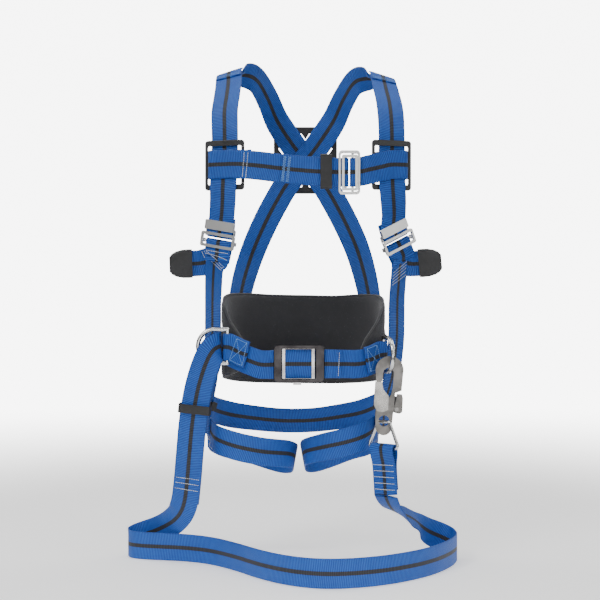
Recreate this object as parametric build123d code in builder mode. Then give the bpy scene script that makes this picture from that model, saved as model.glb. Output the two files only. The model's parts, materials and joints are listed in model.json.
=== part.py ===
from build123d import *
import os
from math import sin, cos, radians, copysign, tan

os.makedirs("parts", exist_ok=True)

# ---------------------------------------------------------------- driving dimensions (mm)
web_w = 45.0        # webbing width
web_t = 2.2         # webbing thickness
wrap_r = 3.5        # centreline radius of webbing round a buckle bar
rod_r = 2.0         # buckle bar radius
wire_r = 3.6        # D-ring wire radius
d_bar = 54.0        # D-ring bar length, centreline
d_leg = 20.0        # straight side of a D-ring
d_arc = 27.0        # D-ring arc radius
belt_cx, belt_cy = -4.0, -2.0
belt_a, belt_b, belt_n = 138.0, 103.6, 2.3
pad_t = 7.0
chest_z = 298.0
floor_z = -330.0
ring_wire = 2.6     # link ring wire radius


# ---------------------------------------------------------------- strap helpers
def catmull(p0, p1, p2, p3, s):
    return [0.5 * (2 * b + (c - a) * s + (2 * a - 5 * b + 4 * c - d) * s * s + (3 * b - a - 3 * c + d) * s ** 3)
            for a, b, c, d in zip(p0, p1, p2, p3)]


def stations(rows, n=3):
    """Centre, tangent and width direction along a strap, from rows of x, y, z and a width vector."""
    ext = [[2 * a - b for a, b in zip(rows[0], rows[1])]] + [list(r) for r in rows] + \
          [[2 * a - b for a, b in zip(rows[-1], rows[-2])]]
    pts = []
    for i in range(1, len(ext) - 2):
        for k in range(n):
            pts.append(catmull(ext[i - 1], ext[i], ext[i + 1], ext[i + 2], k / n))
    pts.append(list(rows[-1]))
    out = []
    for i, p in enumerate(pts):
        a = Vector(*pts[max(i - 1, 0)][:3])
        b = Vector(*pts[min(i + 1, len(pts) - 1)][:3])
        t = (b - a).normalized()
        w = Vector(*p[3:6])
        w = (w - t * w.dot(t)).normalized()
        out.append((Vector(*p[:3]), t, w))
    return out


def belt_xy(angle, out=0.0):
    """Point on the waist oval; angle 0 is the front centre, positive towards the wearer's right."""
    s, c = sin(radians(angle)), cos(radians(angle))
    e = 2 / belt_n
    return (belt_cx - (belt_a + out) * copysign(abs(s) ** e, s),
            belt_cy - (belt_b + out) * copysign(abs(c) ** e, c))


def wrap_rows(cx, cy, side, w, z, front=True):
    """Rows round a vertical bar at cx, cy. side +1 wraps round its +X side; from front layer to back layer."""
    rows = []
    for k in range(7):
        a = radians(-90 + 30 * k)
        rows.append((cx + side * wrap_r * cos(a), cy + wrap_r * sin(a), z) + w)
    return rows


Z = (0.0, 0.0, 1.0)

# ---------------------------------------------------------------- waist belt
def belt_rows(table, out=0.0):
    rows = []
    for a, z in table:
        x, y = belt_xy(a, out)
        rows.append((x, y, z) + Z)
    return rows


BELT_R = [(20, -4.5), (27, -4), (35, 1), (43, 6), (51, 10), (59, 14), (67, 17), (76, 20), (88, 23), (100, 25)]
BELT_L = [(-26, -3.5), (-33, -4), (-41, -3), (-49, 0), (-57, 4), (-65, 8.5), (-75, 13), (-87, 17), (-100, 20)]
BELT_B = [(101.5, 25), (112, 27), (125, 29), (140, 30), (160, 30.5), (180, 30), (-160, 29), (-140, 27.5), (-125, 25),
          (-112, 22.5), (-101.5, 20.5)]

front_y = belt_cy - belt_b                       # centre of the front layer, -105.6
bar_y = front_y + wrap_r                         # buckle bars sit behind the front layer
bar_a_x, bar_b_x = 10.4, 21.0

with BuildPart() as waist_belt_right:
    rows = belt_rows(BELT_R)[::-1] + [(-42, front_y, -3.5) + Z, (-25, front_y, -3) + Z, (-10, front_y, -3) + Z]
    wrap = wrap_rows(bar_a_x, bar_y, 1, Z, -3)
    tail = [(-6, bar_y + wrap_r, -3) + Z, (-22, bar_y + wrap_r - 0.3, -3) + Z, (-40, bar_y + wrap_r - 2.4, -3.5) + Z,
            (-56, bar_y + wrap_r - 2.6, -4) + Z]
    for o, t, w in stations(rows + wrap[:1], 2) + stations(wrap, 2)[1:] + stations(wrap[-1:] + tail, 2)[1:]:
        with BuildSketch(Plane(origin=o, x_dir=w, z_dir=t)):
            Rectangle(web_w, web_t)
    loft(ruled=True)
waist_belt_right.part.label = "waist_belt_right"

with BuildPart() as waist_belt_left:
    rows = belt_rows(BELT_L)[::-1] + [(38, front_y, -3) + Z]
    wrap = wrap_rows(bar_b_x, bar_y, -1, Z, -3)
    tail = [(30, bar_y + wrap_r, -3) + Z, (44, bar_y + wrap_r - 2.6, -3) + Z, (56, bar_y + wrap_r - 3.4, -3.5) + Z]
    for o, t, w in stations(rows + wrap[:1], 2) + stations(wrap, 2)[1:] + stations(wrap[-1:] + tail, 2)[1:]:
        with BuildSketch(Plane(origin=o, x_dir=w, z_dir=t)):
            Rectangle(web_w, web_t)
    loft(ruled=True)
waist_belt_left.part.label = "waist_belt_left"

with BuildPart() as waist_belt_back:
    for o, t, w in stations(belt_rows(BELT_B), 2):
        with BuildSketch(Plane(origin=o, x_dir=w, z_dir=t)):
            Rectangle(web_w, web_t)
    loft(ruled=True)
waist_belt_back.part.label = "waist_belt_back"

# ---------------------------------------------------------------- waist pad: angle, low z, high z
pad_in = -1.1 - 0.9 - pad_t / 2
PAD_HALF = [(42, 2, 22), (46, -10, 36), (52, -17, 48), (60, -21, 61), (69, -24, 76), (78, -27, 89), (90, -30, 100),
            (105, -34, 106), (120, -38, 108), (140, -42, 108), (160, -44, 106), (180, -45, 105)]
PAD = PAD_HALF + [(-a, lo - 1, hi - 2) for a, lo, hi in PAD_HALF[-2::-1]]
with BuildPart() as waist_pad:
    rows = []
    for a, lo, hi in PAD:
        x, y = belt_xy(a, pad_in)
        rows.append((x, y, (lo + hi) / 2, hi - lo))
    for i, (x, y, z, h) in enumerate(rows):
        p, q = rows[max(i - 1, 0)], rows[min(i + 1, len(rows) - 1)]
        t = Vector(q[0] - p[0], q[1] - p[1], 0).normalized()
        with BuildSketch(Plane(origin=(x, y, z), x_dir=(0, 0, 1), z_dir=t)):
            Rectangle(h, pad_t)
    loft(ruled=True)
waist_pad.part.label = "waist_pad"

# ---------------------------------------------------------------- waist buckle
wb_x, wb_z = -11.0, -2.5
with BuildPart() as waist_buckle_frame:
    with BuildSketch(Plane(origin=(wb_x, front_y - 3.8, wb_z), x_dir=(1, 0, 0), z_dir=(0, -1, 0))):
        RectangleRounded(80, 59, 7)
        with Locations((-0.5, 0)):
            RectangleRounded(53, 47.5, 2.5, mode=Mode.SUBTRACT)
    extrude(amount=4)
    fillet(waist_buckle_frame.edges().group_by(Axis.Y)[0], 1.2)
    # cheeks that carry the sewn belt end's bar behind the webbing
    with BuildSketch(Plane(origin=(bar_b_x, bar_y + 2.2, wb_z), x_dir=(1, 0, 0), z_dir=(0, -1, 0))):
        with Locations((0, 25.9), (0, -25.9)):
            Rectangle(6, 3.2)
    extrude(amount=bar_y + 2.2 - (front_y - 3.8) + 0.6)
    with BuildSketch(Plane(origin=(bar_b_x, bar_y, wb_z - 26), x_dir=(1, 0, 0), z_dir=(0, 0, 1))):
        Circle(rod_r)
    extrude(amount=52)
waist_buckle_frame.part.label = "waist_buckle_frame"

with BuildPart() as waist_buckle_plate:
    with BuildSketch(Plane(origin=(wb_x - 1.0, front_y - 1.5, wb_z), x_dir=(1, 0, 0), z_dir=(0, -1, 0))):
        RectangleRounded(51, 53, 3)
        Rectangle(42, 46.6, mode=Mode.SUBTRACT)
    extrude(amount=2.0)
    with BuildSketch(Plane(origin=(bar_a_x, bar_y + 2.2, wb_z), x_dir=(1, 0, 0), z_dir=(0, -1, 0))):
        with Locations((0, 24.6), (0, -24.6)):
            Rectangle(5, 2.6)
    extrude(amount=bar_y + 2.2 - (front_y - 1.5) + 0.5)
    with BuildSketch(Plane(origin=(bar_a_x, bar_y, wb_z - 25), x_dir=(1, 0, 0), z_dir=(0, 0, 1))):
        Circle(rod_r)
    extrude(amount=50)
    # small release tab under the frame
    with BuildSketch(Plane(origin=(wb_x - 3, front_y - 1.5, wb_z - 29), x_dir=(1, 0, 0), z_dir=(0, -1, 0))):
        Rectangle(13, 9)
    extrude(amount=2.0)
waist_buckle_plate.part.label = "waist_buckle_plate"

# ---------------------------------------------------------------- shoulder straps (front)
SH_R = [(-126, 34, 479, .94, .06, .33), (-128, 8, 472, .955, -.02, .29), (-127.5, -12, 462, .96, -.08, .24),
        (-127, -34, 447, .96, -.14, .18), (-128, -60, 425, .95, -.22, .1), (-130, -80, 400, .94, -.30, 0), (-129, -94, 370, .94, -.33, 0),
        (-128.5, -98.8, 347, .94, -.33, 0), (-129.5, -103, 312, .94, -.33, 0), (-131, -107.2, 277, .94, -.33, 0),
        (-131.5, -106.5, 256, .93, -.36, -.06), (-133, -104, 233, .91, -.39, -.13)]
SH_L = [(127, 34, 473, -.94, .06, .33), (128.5, 8, 466, -.95, -.02, .29), (130, -12, 456, -.96, -.08, .24),
        (131.5, -34, 440, -.96, -.14, .18), (134, -60, 419, -.95, -.22, .1), (135.5, -80, 396, -.94, -.30, 0), (136, -92.5, 370, -.94, -.33, 0),
        (136, -97.4, 347, -.94, -.33, 0), (136, -102, 312, -.94, -.33, 0), (136.5, -106.6, 277, -.94, -.33, 0),
        (138, -105.5, 256, -.92, -.36, -.12), (139, -101.6, 233, -.83, -.42, -.36)]

# torso buckle frames of reference: centre of the shoulder strap's face, width direction, down direction
TB = {"right": ((-137.0, -99.5, 203.0), (.90, -.40, -.17), (-.115, .10, -.985)),
      "left": ((142.5, -97.5, 200.0), (-.80, -.43, -.42), (.09, .11, -.985))}


def torso_plane(side, v=0.0, n=0.0):
    c, w, d = TB[side]
    w = Vector(*w).normalized()
    d = Vector(*d)
    d = (d - w * d.dot(w)).normalized()
    nn = w.cross(d)
    if nn.Y > 0:
        nn = nn * -1
    o = Vector(*c) - d * v + nn * n
    return Plane(origin=o, x_dir=w, z_dir=nn), w, d, nn


def torso_point(side, v, n):
    pl, w, d, nn = torso_plane(side, v, n)
    o = pl.origin
    return (o.X, o.Y, o.Z, w.X, w.Y, w.Z)


def torso_wrap(side, v0, up):
    """Webbing round a bar at height v0 behind the strap face; up +1 wraps its upper side, -1 its lower side."""
    return [torso_point(side, v0 + up * wrap_r * cos(radians(-90 + 30 * k)), -wrap_r - wrap_r * sin(radians(-90 + 30 * k)))
            for k in range(7)]


SHOULDER = {"right": SH_R, "left": SH_L}
bar_up, bar_low = -3.0, -13.5
shoulder_parts = {}
for side in ("right", "left"):
    rows = SHOULDER[side] + [torso_point(side, 14, 0), torso_point(side, 4, 0)]
    wrap = torso_wrap(side, bar_up, -1)
    tail = [torso_point(side, 6, -2 * wrap_r), torso_point(side, 16, -2 * wrap_r + 0.6), torso_point(side, 26, -2 * wrap_r + 2.5)]
    with BuildPart() as strap:
        for o, t, w in stations(rows + wrap[:1], 2) + stations(wrap, 2)[1:] + stations(wrap[-1:] + tail, 2)[1:]:
            with BuildSketch(Plane(origin=o, x_dir=w, z_dir=t)):
                Rectangle(web_w, web_t)
        loft(ruled=True)
    strap.part.label = "shoulder_strap_" + side
    shoulder_parts["shoulder_strap_" + side] = strap.part

# ---------------------------------------------------------------- side straps, torso buckle to hip
SI_R = [(-145.5, -84, 158, .66, -.66, -.36), (-149, -63, 128, .64, -.72, -.28), (-151, -46, 96, .62, -.77, -.14), (-151.5, -40, 57, .62, -.78, 0),
        (-152.5, -36, 24, .62, -.78, .05), (-157, -29, -25, .60, -.80, .08), (-163.5, -22, -62, .58, -.81, .06), (-168.5, -17, -92, .56, -.83, .05),
        (-170.5, -14, -120, .56, -.83, 0)]
SI_L = [(150, -80, 155, -.62, -.66, -.42), (149, -61, 127, -.62, -.72, -.30), (148, -46, 96, -.62, -.77, -.14), (148, -40, 57, -.62, -.78, 0),
        (147, -37, 24, -.62, -.78, .05), (141, -32, -25, -.62, -.78, .06), (132, -28, -60, -.60, -.80, .04), (127.5, -26, -88, -.58, -.81, .02),
        (126.5, -25, -114, -.58, -.81, 0)]
SIDE = {"right": SI_R, "left": SI_L}
side_parts = {}
for side in ("right", "left"):
    wrap = torso_wrap(side, bar_low, 1)
    back = [torso_point(side, bar_low - 10, -2 * wrap_r), torso_point(side, bar_low - 22, -2 * wrap_r + 1.8),
            torso_point(side, bar_low - 32, -2.9)]
    lead = stations(back[::-1] + wrap[-1:], 2) + stations(wrap[::-1], 2)[1:]
    rows = [wrap[0], torso_point(side, bar_low - 12, 0), torso_point(side, bar_low - 24, -0.5)] + SIDE[side]
    with BuildPart() as strap:
        for o, t, w in lead + stations(rows, 2)[1:]:
            with BuildSketch(Plane(origin=o, x_dir=w, z_dir=t)):
                Rectangle(web_w, web_t)
        loft(ruled=True)
    strap.part.label = "side_strap_" + side
    side_parts["side_strap_" + side] = strap.part

# ---------------------------------------------------------------- torso buckles
torso_parts = {}
for side in ("right", "left"):
    with BuildPart() as frame:
        pl, w, d, nn = torso_plane(side, -11, 2.1)
        with BuildSketch(pl):
            RectangleRounded(60, 24, 3.5)
            RectangleRounded(52.4, 15, 2, mode=Mode.SUBTRACT)
        extrude(amount=3.2)
        pl, w, d, nn = torso_plane(side, bar_low, -wrap_r - 2.4)
        with BuildSketch(pl):
            with Locations((27.6, 0), (-27.6, 0)):
                Rectangle(3.2, 6)
        extrude(amount=wrap_r + 2.4 + 2.6)
        pl, w, d, nn = torso_plane(side, bar_low, -wrap_r)
        with BuildSketch(Plane(origin=pl.origin - w * 27, x_dir=nn, z_dir=w)):
            Circle(rod_r)
        extrude(amount=54)
    frame.part.label = "torso_buckle_frame_" + side
    torso_parts["torso_buckle_frame_" + side] = frame.part
    with BuildPart() as plate:
        pl, w, d, nn = torso_plane(side, 12.5, 2.1)
        with BuildSketch(pl):
            RectangleRounded(51.6, 15, 2)
        extrude(amount=2.6)
        # cheeks back to the bar, clear of the frame's top bar
        for s in (-1, 1):
            o = torso_plane(side, 0, 0)[0].origin + w * (24.1 if s > 0 else -25.7)
            cheek = Plane(origin=o, x_dir=d * -1, z_dir=w)
            k = 1 if cheek.to_local_coords(Vector(o) + nn).Y > 0 else -1
            with BuildSketch(cheek):
                with BuildLine():
                    Polyline((-5.5, -6.0 * k), (7.5, -6.0 * k), (10, 2.3 * k), (5.6, 2.3 * k), (3.0, -1.0 * k),
                             (-5.5, -1.0 * k), (-5.5, -6.0 * k))
                make_face()
            extrude(amount=1.6)
        pl, w, d, nn = torso_plane(side, bar_up, -wrap_r)
        with BuildSketch(Plane(origin=pl.origin - w * 25, x_dir=nn, z_dir=w)):
            Circle(rod_r)
        extrude(amount=50)
    plate.part.label = "torso_buckle_plate_" + side
    torso_parts["torso_buckle_plate_" + side] = plate.part

# ---------------------------------------------------------------- adjuster tails and their end caps
TAIL_R = [(-136, -76, 172, .45, -.2, .87), (-146, -64, 167, .35, -.25, .90), (-158, -51, 161, .25, -.30, .92),
          (-172, -47.5, 158, .15, -.30, .94), (-190, -50, 157, .05, -.30, .95)]
TAIL_L = [(138, -74, 170, -.40, -.2, .87), (148, -62, 164, -.35, -.3, .88), (161, -49, 159, -.25, -.35, .90),
          (175, -46, 157, -.15, -.35, .92), (189, -49, 158, -.12, -.35, .93)]
tail_parts = {}
for name, rows in (("strap_tail_right", TAIL_R), ("strap_tail_left", TAIL_L)):
    with BuildPart() as strap:
        for o, t, w in stations(rows, 3):
            with BuildSketch(Plane(origin=o, x_dir=w, z_dir=t)):
                Rectangle(44.0, web_t)
        loft(ruled=True)
    strap.part.label = name
    tail_parts[name] = strap.part

cap_parts = {}
for name, o, t, w in (("tail_cap_right", (-190, -50, 157), (-.99, -.14, -.05), (.05, -.30, .95)),
                      ("tail_cap_left", (189, -49, 158), (.985, -.16, .07), (-.12, -.35, .93))):
    t = Vector(*t).normalized()
    w = Vector(*w)
    w = (w - t * w.dot(t)).normalized()
    o = Vector(*o) + t * 0.4
    with BuildPart() as cap:
        for s, wid, thk, r in ((-6, 47.4, 7.2, 2.6), (0, 48, 8, 3), (10, 47, 8.8, 3.4), (20, 42, 8, 3), (27, 34, 6.4, 2.4),
                               (31, 24, 4.4, 1.8)):
            with BuildSketch(Plane(origin=o + t * s, x_dir=w, z_dir=t)):
                RectangleRounded(wid, thk, r)
        loft(ruled=True)
        # pocket that the webbing end sits in
        with BuildSketch(Plane(origin=o - t * 6.1, x_dir=w, z_dir=t)):
            Rectangle(45.6, web_t + 3.2)
        extrude(amount=8.4, mode=Mode.SUBTRACT)
    cap.part.label = name
    cap_parts[name] = cap.part

# ---------------------------------------------------------------- chest strap, sliders, keeper, buckle
CS = {"right": ((-129.5, -103, 312), 18.0, 1), "left": ((136.0, -102, 312), 18.0, -1)}


def chest_plane(side, u=0.0, z=0.0, n=0.0):
    """Slider plane: u runs from the side of the chest towards its centre, n outwards."""
    (x, y, zc), ang, s = CS[side]
    uu = Vector(s * cos(radians(ang)), -sin(radians(ang)), 0)
    nn = Vector(-s * sin(radians(ang)), -cos(radians(ang)), 0)
    o = Vector(x, y, zc + z) + uu * u + nn * n
    return o, uu, nn


slider_parts = {}
for side in ("right", "left"):
    o, uu, nn = chest_plane(side, 1.0, -1.0, 0.2)
    tilt = Plane(origin=o, x_dir=uu, z_dir=nn)
    with BuildPart() as slider:
        with BuildSketch(tilt.offset(-1.7)):
            RectangleRounded(66, 79, 5)
            RectangleRounded(57.0, 61.5, 2.5, mode=Mode.SUBTRACT)
        extrude(amount=3.4)
        fillet(slider.edges().filter_by(GeomType.LINE).sort_by(lambda e: -abs(tilt.to_local_coords(e.center()).Z))[:8], 0.8)
    slider.part.label = "chest_slider_" + side
    slider_parts["chest_slider_" + side] = slider.part


def slider_wrap(side):
    """Chest webbing round the edge of the shoulder strap, inside the slider: back layer, bend, front layer (5.5 mm either side)."""
    rows = []
    for k in range(7):
        a = radians(-90 + 30 * k)
        o, uu, nn = chest_plane(side, -20.2 - 5.6 * cos(a), 0, 5.6 * sin(a))
        rows.append((o.X, o.Y, o.Z, 0, 0, 1))
    return rows


def chest_row(side, u, n, z=0.0):
    o, uu, nn = chest_plane(side, u, z, n)
    return (o.X, o.Y, o.Z, 0, 0, 1)


cb_frame_x, cb_y = 67.5, -125.0
ca_x, cc_x = 62.0, 72.8                      # bars of the chest buckle: plate bar, frame bar
cbar_y = cb_y + wrap_r

with BuildPart() as chest_strap_right:
    back = [chest_row("right", 46, 2.4), chest_row("right", 41, 0.2), chest_row("right", 36.5, -3.2), chest_row("right", 30, -5.3), chest_row("right", 18, -5.8), chest_row("right", -8, -5.6)]
    wrap = slider_wrap("right")
    front = [chest_row("right", -8, 5.6), chest_row("right", 14, 6.6), chest_row("right", 34, 5.6, -1), (-70, -121.2, 308, 0, 0, 1),
             (-46, -122.0, 305, 0, 0, 1), (-29, -121.9, 303.5, 0, 0, 1)]
    for o, t, w in stations(back + wrap[:1], 2) + stations(wrap, 2)[1:] + stations(wrap[-1:] + front, 3)[1:]:
        with BuildSketch(Plane(origin=o, x_dir=w, z_dir=t)):
            Rectangle(web_w, web_t)
    loft(ruled=True)
chest_strap_right.part.label = "chest_strap_right"

with BuildPart() as chest_strap_middle:
    rows = [(-39, -124.7, 304, 0, 0, 1), (-20, -124.9, 302, 0, 0, 1), (10, -125, 299.5, 0, 0, 1), (40, -125, 298.2, 0, 0, 1), (52, -125, 298, 0, 0, 1)]
    wrap = wrap_rows(ca_x, cbar_y, 1, Z, chest_z)
    tail = [(52, cbar_y + wrap_r, 298, 0, 0, 1), (36, cbar_y + wrap_r - 2.5, 298.3, 0, 0, 1), (24, cbar_y + wrap_r - 3.9, 298.8, 0, 0, 1),
            (4, cbar_y + wrap_r - 4.1, 300, 0, 0, 1)]
    for o, t, w in stations(rows + wrap[:1], 2) + stations(wrap, 2)[1:] + stations(wrap[-1:] + tail, 2)[1:]:
        with BuildSketch(Plane(origin=o, x_dir=w, z_dir=t)):
            Rectangle(web_w, web_t)
    loft(ruled=True)
chest_strap_middle.part.label = "chest_strap_middle"

with BuildPart() as chest_strap_left:
    tail = [(104, -117.4, 304, 0, 0, 1), (96, cbar_y + wrap_r - 0.6, 302, 0, 0, 1), (86, cbar_y + wrap_r, 299.5, 0, 0, 1)]
    wrap = wrap_rows(cc_x, cbar_y, -1, Z, chest_z)[::-1]
    rows = [(86, -124.9, 299, 0, 0, 1), (100, -122.8, 302.5, 0, 0, 1), chest_row("left", 22, 7.4, -5), chest_row("left", 6, 6.8, -1), chest_row("left", -12, 5.6, 0)]
    wrap2 = slider_wrap("left")[::-1]
    back = [chest_row("left", -8, -5.6), chest_row("left", 12, -5.7, -1), chest_row("left", 26, -5.2, -3)]
    for o, t, w in stations(tail + wrap[:1], 2) + stations(wrap, 2)[1:] + stations(wrap[-1:] + rows + wrap2[:1], 2)[1:] + \
            stations(wrap2, 2)[1:] + stations(wrap2[-1:] + back, 2)[1:]:
        with BuildSketch(Plane(origin=o, x_dir=w, z_dir=t)):
            Rectangle(web_w, web_t)
    loft(ruled=True)
chest_strap_left.part.label = "chest_strap_left"

with BuildPart() as chest_keeper:
    with BuildSketch(Plane(origin=(22.5, -122.5, 299.3), x_dir=(0, 1, 0), z_dir=(1, 0, 0))):
        RectangleRounded(13.6, 54, 3)
        RectangleRounded(9.6, 48.6, 1.2, mode=Mode.SUBTRACT)
    extrude(amount=18)
chest_keeper.part.label = "chest_keeper"

with BuildPart() as chest_buckle_frame:
    with BuildSketch(Plane(origin=(cb_frame_x, cb_y - 3.9, chest_z - 1), x_dir=(1, 0, 0), z_dir=(0, -1, 0))):
        RectangleRounded(34, 69, 6)
        RectangleRounded(27, 60, 3.5, mode=Mode.SUBTRACT)
    extrude(amount=3.4)
    fillet(chest_buckle_frame.edges().group_by(Axis.Y)[0], 1.0)
    with BuildSketch(Plane(origin=(cc_x + 3, cbar_y + 2.2, chest_z - 1), x_dir=(1, 0, 0), z_dir=(0, -1, 0))):
        with Locations((0, 31.8), (0, -31.8)):
            Rectangle(10, 3.0)
    extrude(amount=cbar_y + 2.2 - (cb_y - 3.9) + 0.6)
    with BuildSketch(Plane(origin=(cc_x, cbar_y, chest_z - 1 - 32), x_dir=(1, 0, 0), z_dir=(0, 0, 1))):
        Circle(rod_r)
    extrude(amount=64)
chest_buckle_frame.part.label = "chest_buckle_frame"

with BuildPart() as chest_buckle_plate:
    with BuildSketch(Plane(origin=(68.5, cb_y - 1.6, chest_z - 1), x_dir=(1, 0, 0), z_dir=(0, -1, 0))):
        RectangleRounded(25, 56, 2.5)
        RectangleRounded(17, 48, 1.5, mode=Mode.SUBTRACT)
    extrude(amount=2.0)
    with BuildSketch(Plane(origin=(ca_x, cbar_y + 2.2, chest_z - 1), x_dir=(1, 0, 0), z_dir=(0, -1, 0))):
        with Locations((0, 25.6), (0, -25.6)):
            Rectangle(5, 3.0)
    extrude(amount=cbar_y + 2.2 - (cb_y - 1.6) + 0.5)
    with BuildSketch(Plane(origin=(ca_x, cbar_y, chest_z - 1 - 26), x_dir=(1, 0, 0), z_dir=(0, 0, 1))):
        Circle(rod_r)
    extrude(amount=52)
chest_buckle_plate.part.label = "chest_buckle_plate"

# ---------------------------------------------------------------- D-rings
def d_ring_parts(o, e, up):
    """Planes and directions of a D-ring: o is the middle of its bar, e points from the bar to the arch."""
    e = Vector(*e).normalized()
    up = Vector(*up).normalized()
    return Vector(*o), e, up


D_RINGS = {"side_d_ring_right": ((-126.5, -69.5, 23.8), (-1, 0.0, 0), (0, 0, 1)),
           "side_d_ring_left": ((125.5, -61.8, 10.5), (.25, -.97, 0), (0, 0, 1)),
           "dorsal_d_ring": ((0, 149.0, 352), (0, 0, -1), (1, 0, 0))}
d_parts = {}
for name, (o, e, up) in D_RINGS.items():
    o, e, up = d_ring_parts(o, e, up)
    wr = wire_r if name != "dorsal_d_ring" else 4.0
    half = d_bar / 2
    with BuildPart() as ring:
        with BuildLine() as path:
            a = o + up * half
            b = a + e * d_leg
            m = o + e * (d_leg + d_arc)
            c = o - up * half + e * d_leg
            d = o - up * half
            Line(a, b)
            ThreePointArc(b, m, c)
            Line(c, d)
        with BuildSketch(Plane(origin=a, x_dir=up, z_dir=e)):
            Circle(wr)
        sweep(path=path.line)
        with BuildSketch(Plane(origin=d, x_dir=e, z_dir=up)):
            Circle(wr)
        extrude(amount=2 * half)
        with Locations(a, d):
            Sphere(wr)
    ring.part.label = name
    d_parts[name] = ring.part

# webbing loops that hold the side D-rings on the belt
loop_r = wire_r + 0.8 + web_t / 2
loop_parts = {}
for name, ang0, sgn, bar, z0, z1 in (("d_ring_loop_right", 68.0, 1, (-126.5, -69.5), 22.6, 11), ("d_ring_loop_left", -66.0, -1, (125.5, -61.8), 10.2, 1.5)):
    bx, by = bar
    inner = []
    outer = []
    for k, a in enumerate((51, 46, 41, 36) if sgn > 0 else (57, 52, 47, 42)):
        aa = a if sgn > 0 else -a
        x, y = belt_xy(aa, (4.6, 4.6, 4.3, 4.0)[k] if sgn > 0 else 3.3)
        z = z0 + (z1 - z0) * (0.06, 0.4, 0.75, 1.0)[k]
        inner.append((x, y, z) + Z)
        x, y = belt_xy(aa, (9.0, 6.9, 6.1, 5.8)[k])
        outer.append((x, y, z) + Z)
    # bend round the bar: half turn open towards the belt
    dirx = sgn * .80
    ax = Vector(dirx, -.60, 0)                      # from bar along the strap towards the front
    nrm = Vector(-sgn * .60, -.80, 0)
    wrap = []
    for k in range(9):
        a = radians(-90 + 22.5 * k)
        p = Vector(bx, by, z0) - ax * (loop_r * cos(a)) + nrm * (loop_r * sin(a))
        wrap.append((p.X, p.Y, p.Z) + Z)
    with BuildPart() as loop:
        for o, t, w in stations(inner[::-1] + wrap[:1], 2) + stations(wrap, 2)[1:] + stations(wrap[-1:] + outer, 2)[1:]:
            with BuildSketch(Plane(origin=o, x_dir=w, z_dir=t)):
                Rectangle(43.0, web_t)
        loft(ruled=True)
    loop.part.label = name
    loop_parts[name] = loop.part

# ---------------------------------------------------------------- dorsal plate and back straps
dp_z = 345.0
dp_y = 134.0
slant = 34.0
with BuildPart() as dorsal_plate:
    with BuildSketch(Plane(origin=(0, dp_y, dp_z), x_dir=(-1, 0, 0), z_dir=(0, 1, 0))):
        RectangleRounded(112, 118, 20)
        for sx in (-1, 1):
            for sz in (-1, 1):
                with Locations(Location((sx * 35 * sin(radians(slant + 6)), sz * 35 * cos(radians(slant + 6)) + 0, 0),
                                        (0, 0, -sx * sz * slant))):
                    Rectangle(49, 19, mode=Mode.SUBTRACT)
    extrude(amount=4)
    # lugs for the dorsal D-ring bar
    for s in (-1, 1):
        with BuildSketch(Plane(origin=(s * 16.5 - 5, dp_y + 3.5, 352), x_dir=(0, 1, 0), z_dir=(1, 0, 0))):
            with BuildLine():
                Polyline((0, -11), (11.5, -9), (15.5, -5.5), (18.3, 0), (15.5, 5.5), (11.5, 9), (0, 11), (0, -11))
            make_face()
            with Locations((11.5, 0)):
                Circle(4.35, mode=Mode.SUBTRACT)
        extrude(amount=10)
dorsal_plate.part.label = "dorsal_plate"

BACK_R = [(-126.5, 14, 469.5, .95, .02, .31), (-120, 37, 475.5, .90, .10, .38), (-104, 55, 482, .78, .35, .50), (-84, 76, 476, .72, .55, .36), (-66, 100, 448, .76, .52, .25),
          (-52, 122.5, 417, .81, .28, .46), (-40, 129, 397.5, .83, .05, .55), (-29, 130.6, 381.4, .83, 0, .56), (-16, 130.6, 363, .83, 0, .56),
          (0, 130.6, 343, .83, 0, .56), (16, 130.6, 326, .83, 0, .56), (29, 130.6, 307.6, .83, 0, .56), (43, 131.5, 286, .84, 0, .53), (68, 130, 240, .86, -.12, .50),
          (90, 121, 190, .86, -.28, .42), (104, 104, 140, .82, -.45, .34), (112, 90, 95, .76, -.60, .24), (116, 80, 50, .72, -.67, .15), (118, 74, 10, .72, -.69, 0)]
BACK_L = [(127.5, 14, 463.3, -.95, .02, .31), (120, 37, 469.5, -.90, .10, .38), (104, 55, 476, -.78, .35, .50), (84, 76, 472, -.72, .55, .36), (66, 100, 446, -.76, .52, .25),
          (52, 121, 417, -.81, .28, .46), (40, 126, 397.5, -.83, .05, .55), (29, 127.2, 381.4, -.83, 0, .56), (16, 127.2, 363, -.83, 0, .56),
          (0, 127.2, 343, -.83, 0, .56), (-16, 127.2, 326, -.83, 0, .56), (-29, 127.2, 307.6, -.83, 0, .56), (-43, 128.5, 286, -.84, 0, .53), (-68, 130, 240, -.86, -.12, .50),
          (-90, 124, 190, -.86, -.28, .42), (-106, 106, 140, -.82, -.45, .34), (-115, 91, 95, -.76, -.60, .24), (-121, 80, 50, -.72, -.67, .15), (-124, 74, 10, -.72, -.69, 0)]
back_parts = {}
for name, rows in (("back_strap_right", BACK_R), ("back_strap_left", BACK_L)):
    with BuildPart() as strap:
        for o, t, w in stations(rows, 2):
            with BuildSketch(Plane(origin=o, x_dir=w, z_dir=t)):
                Rectangle(web_w, web_t)
        loft(ruled=True)
    strap.part.label = name
    back_parts[name] = strap.part

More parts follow.
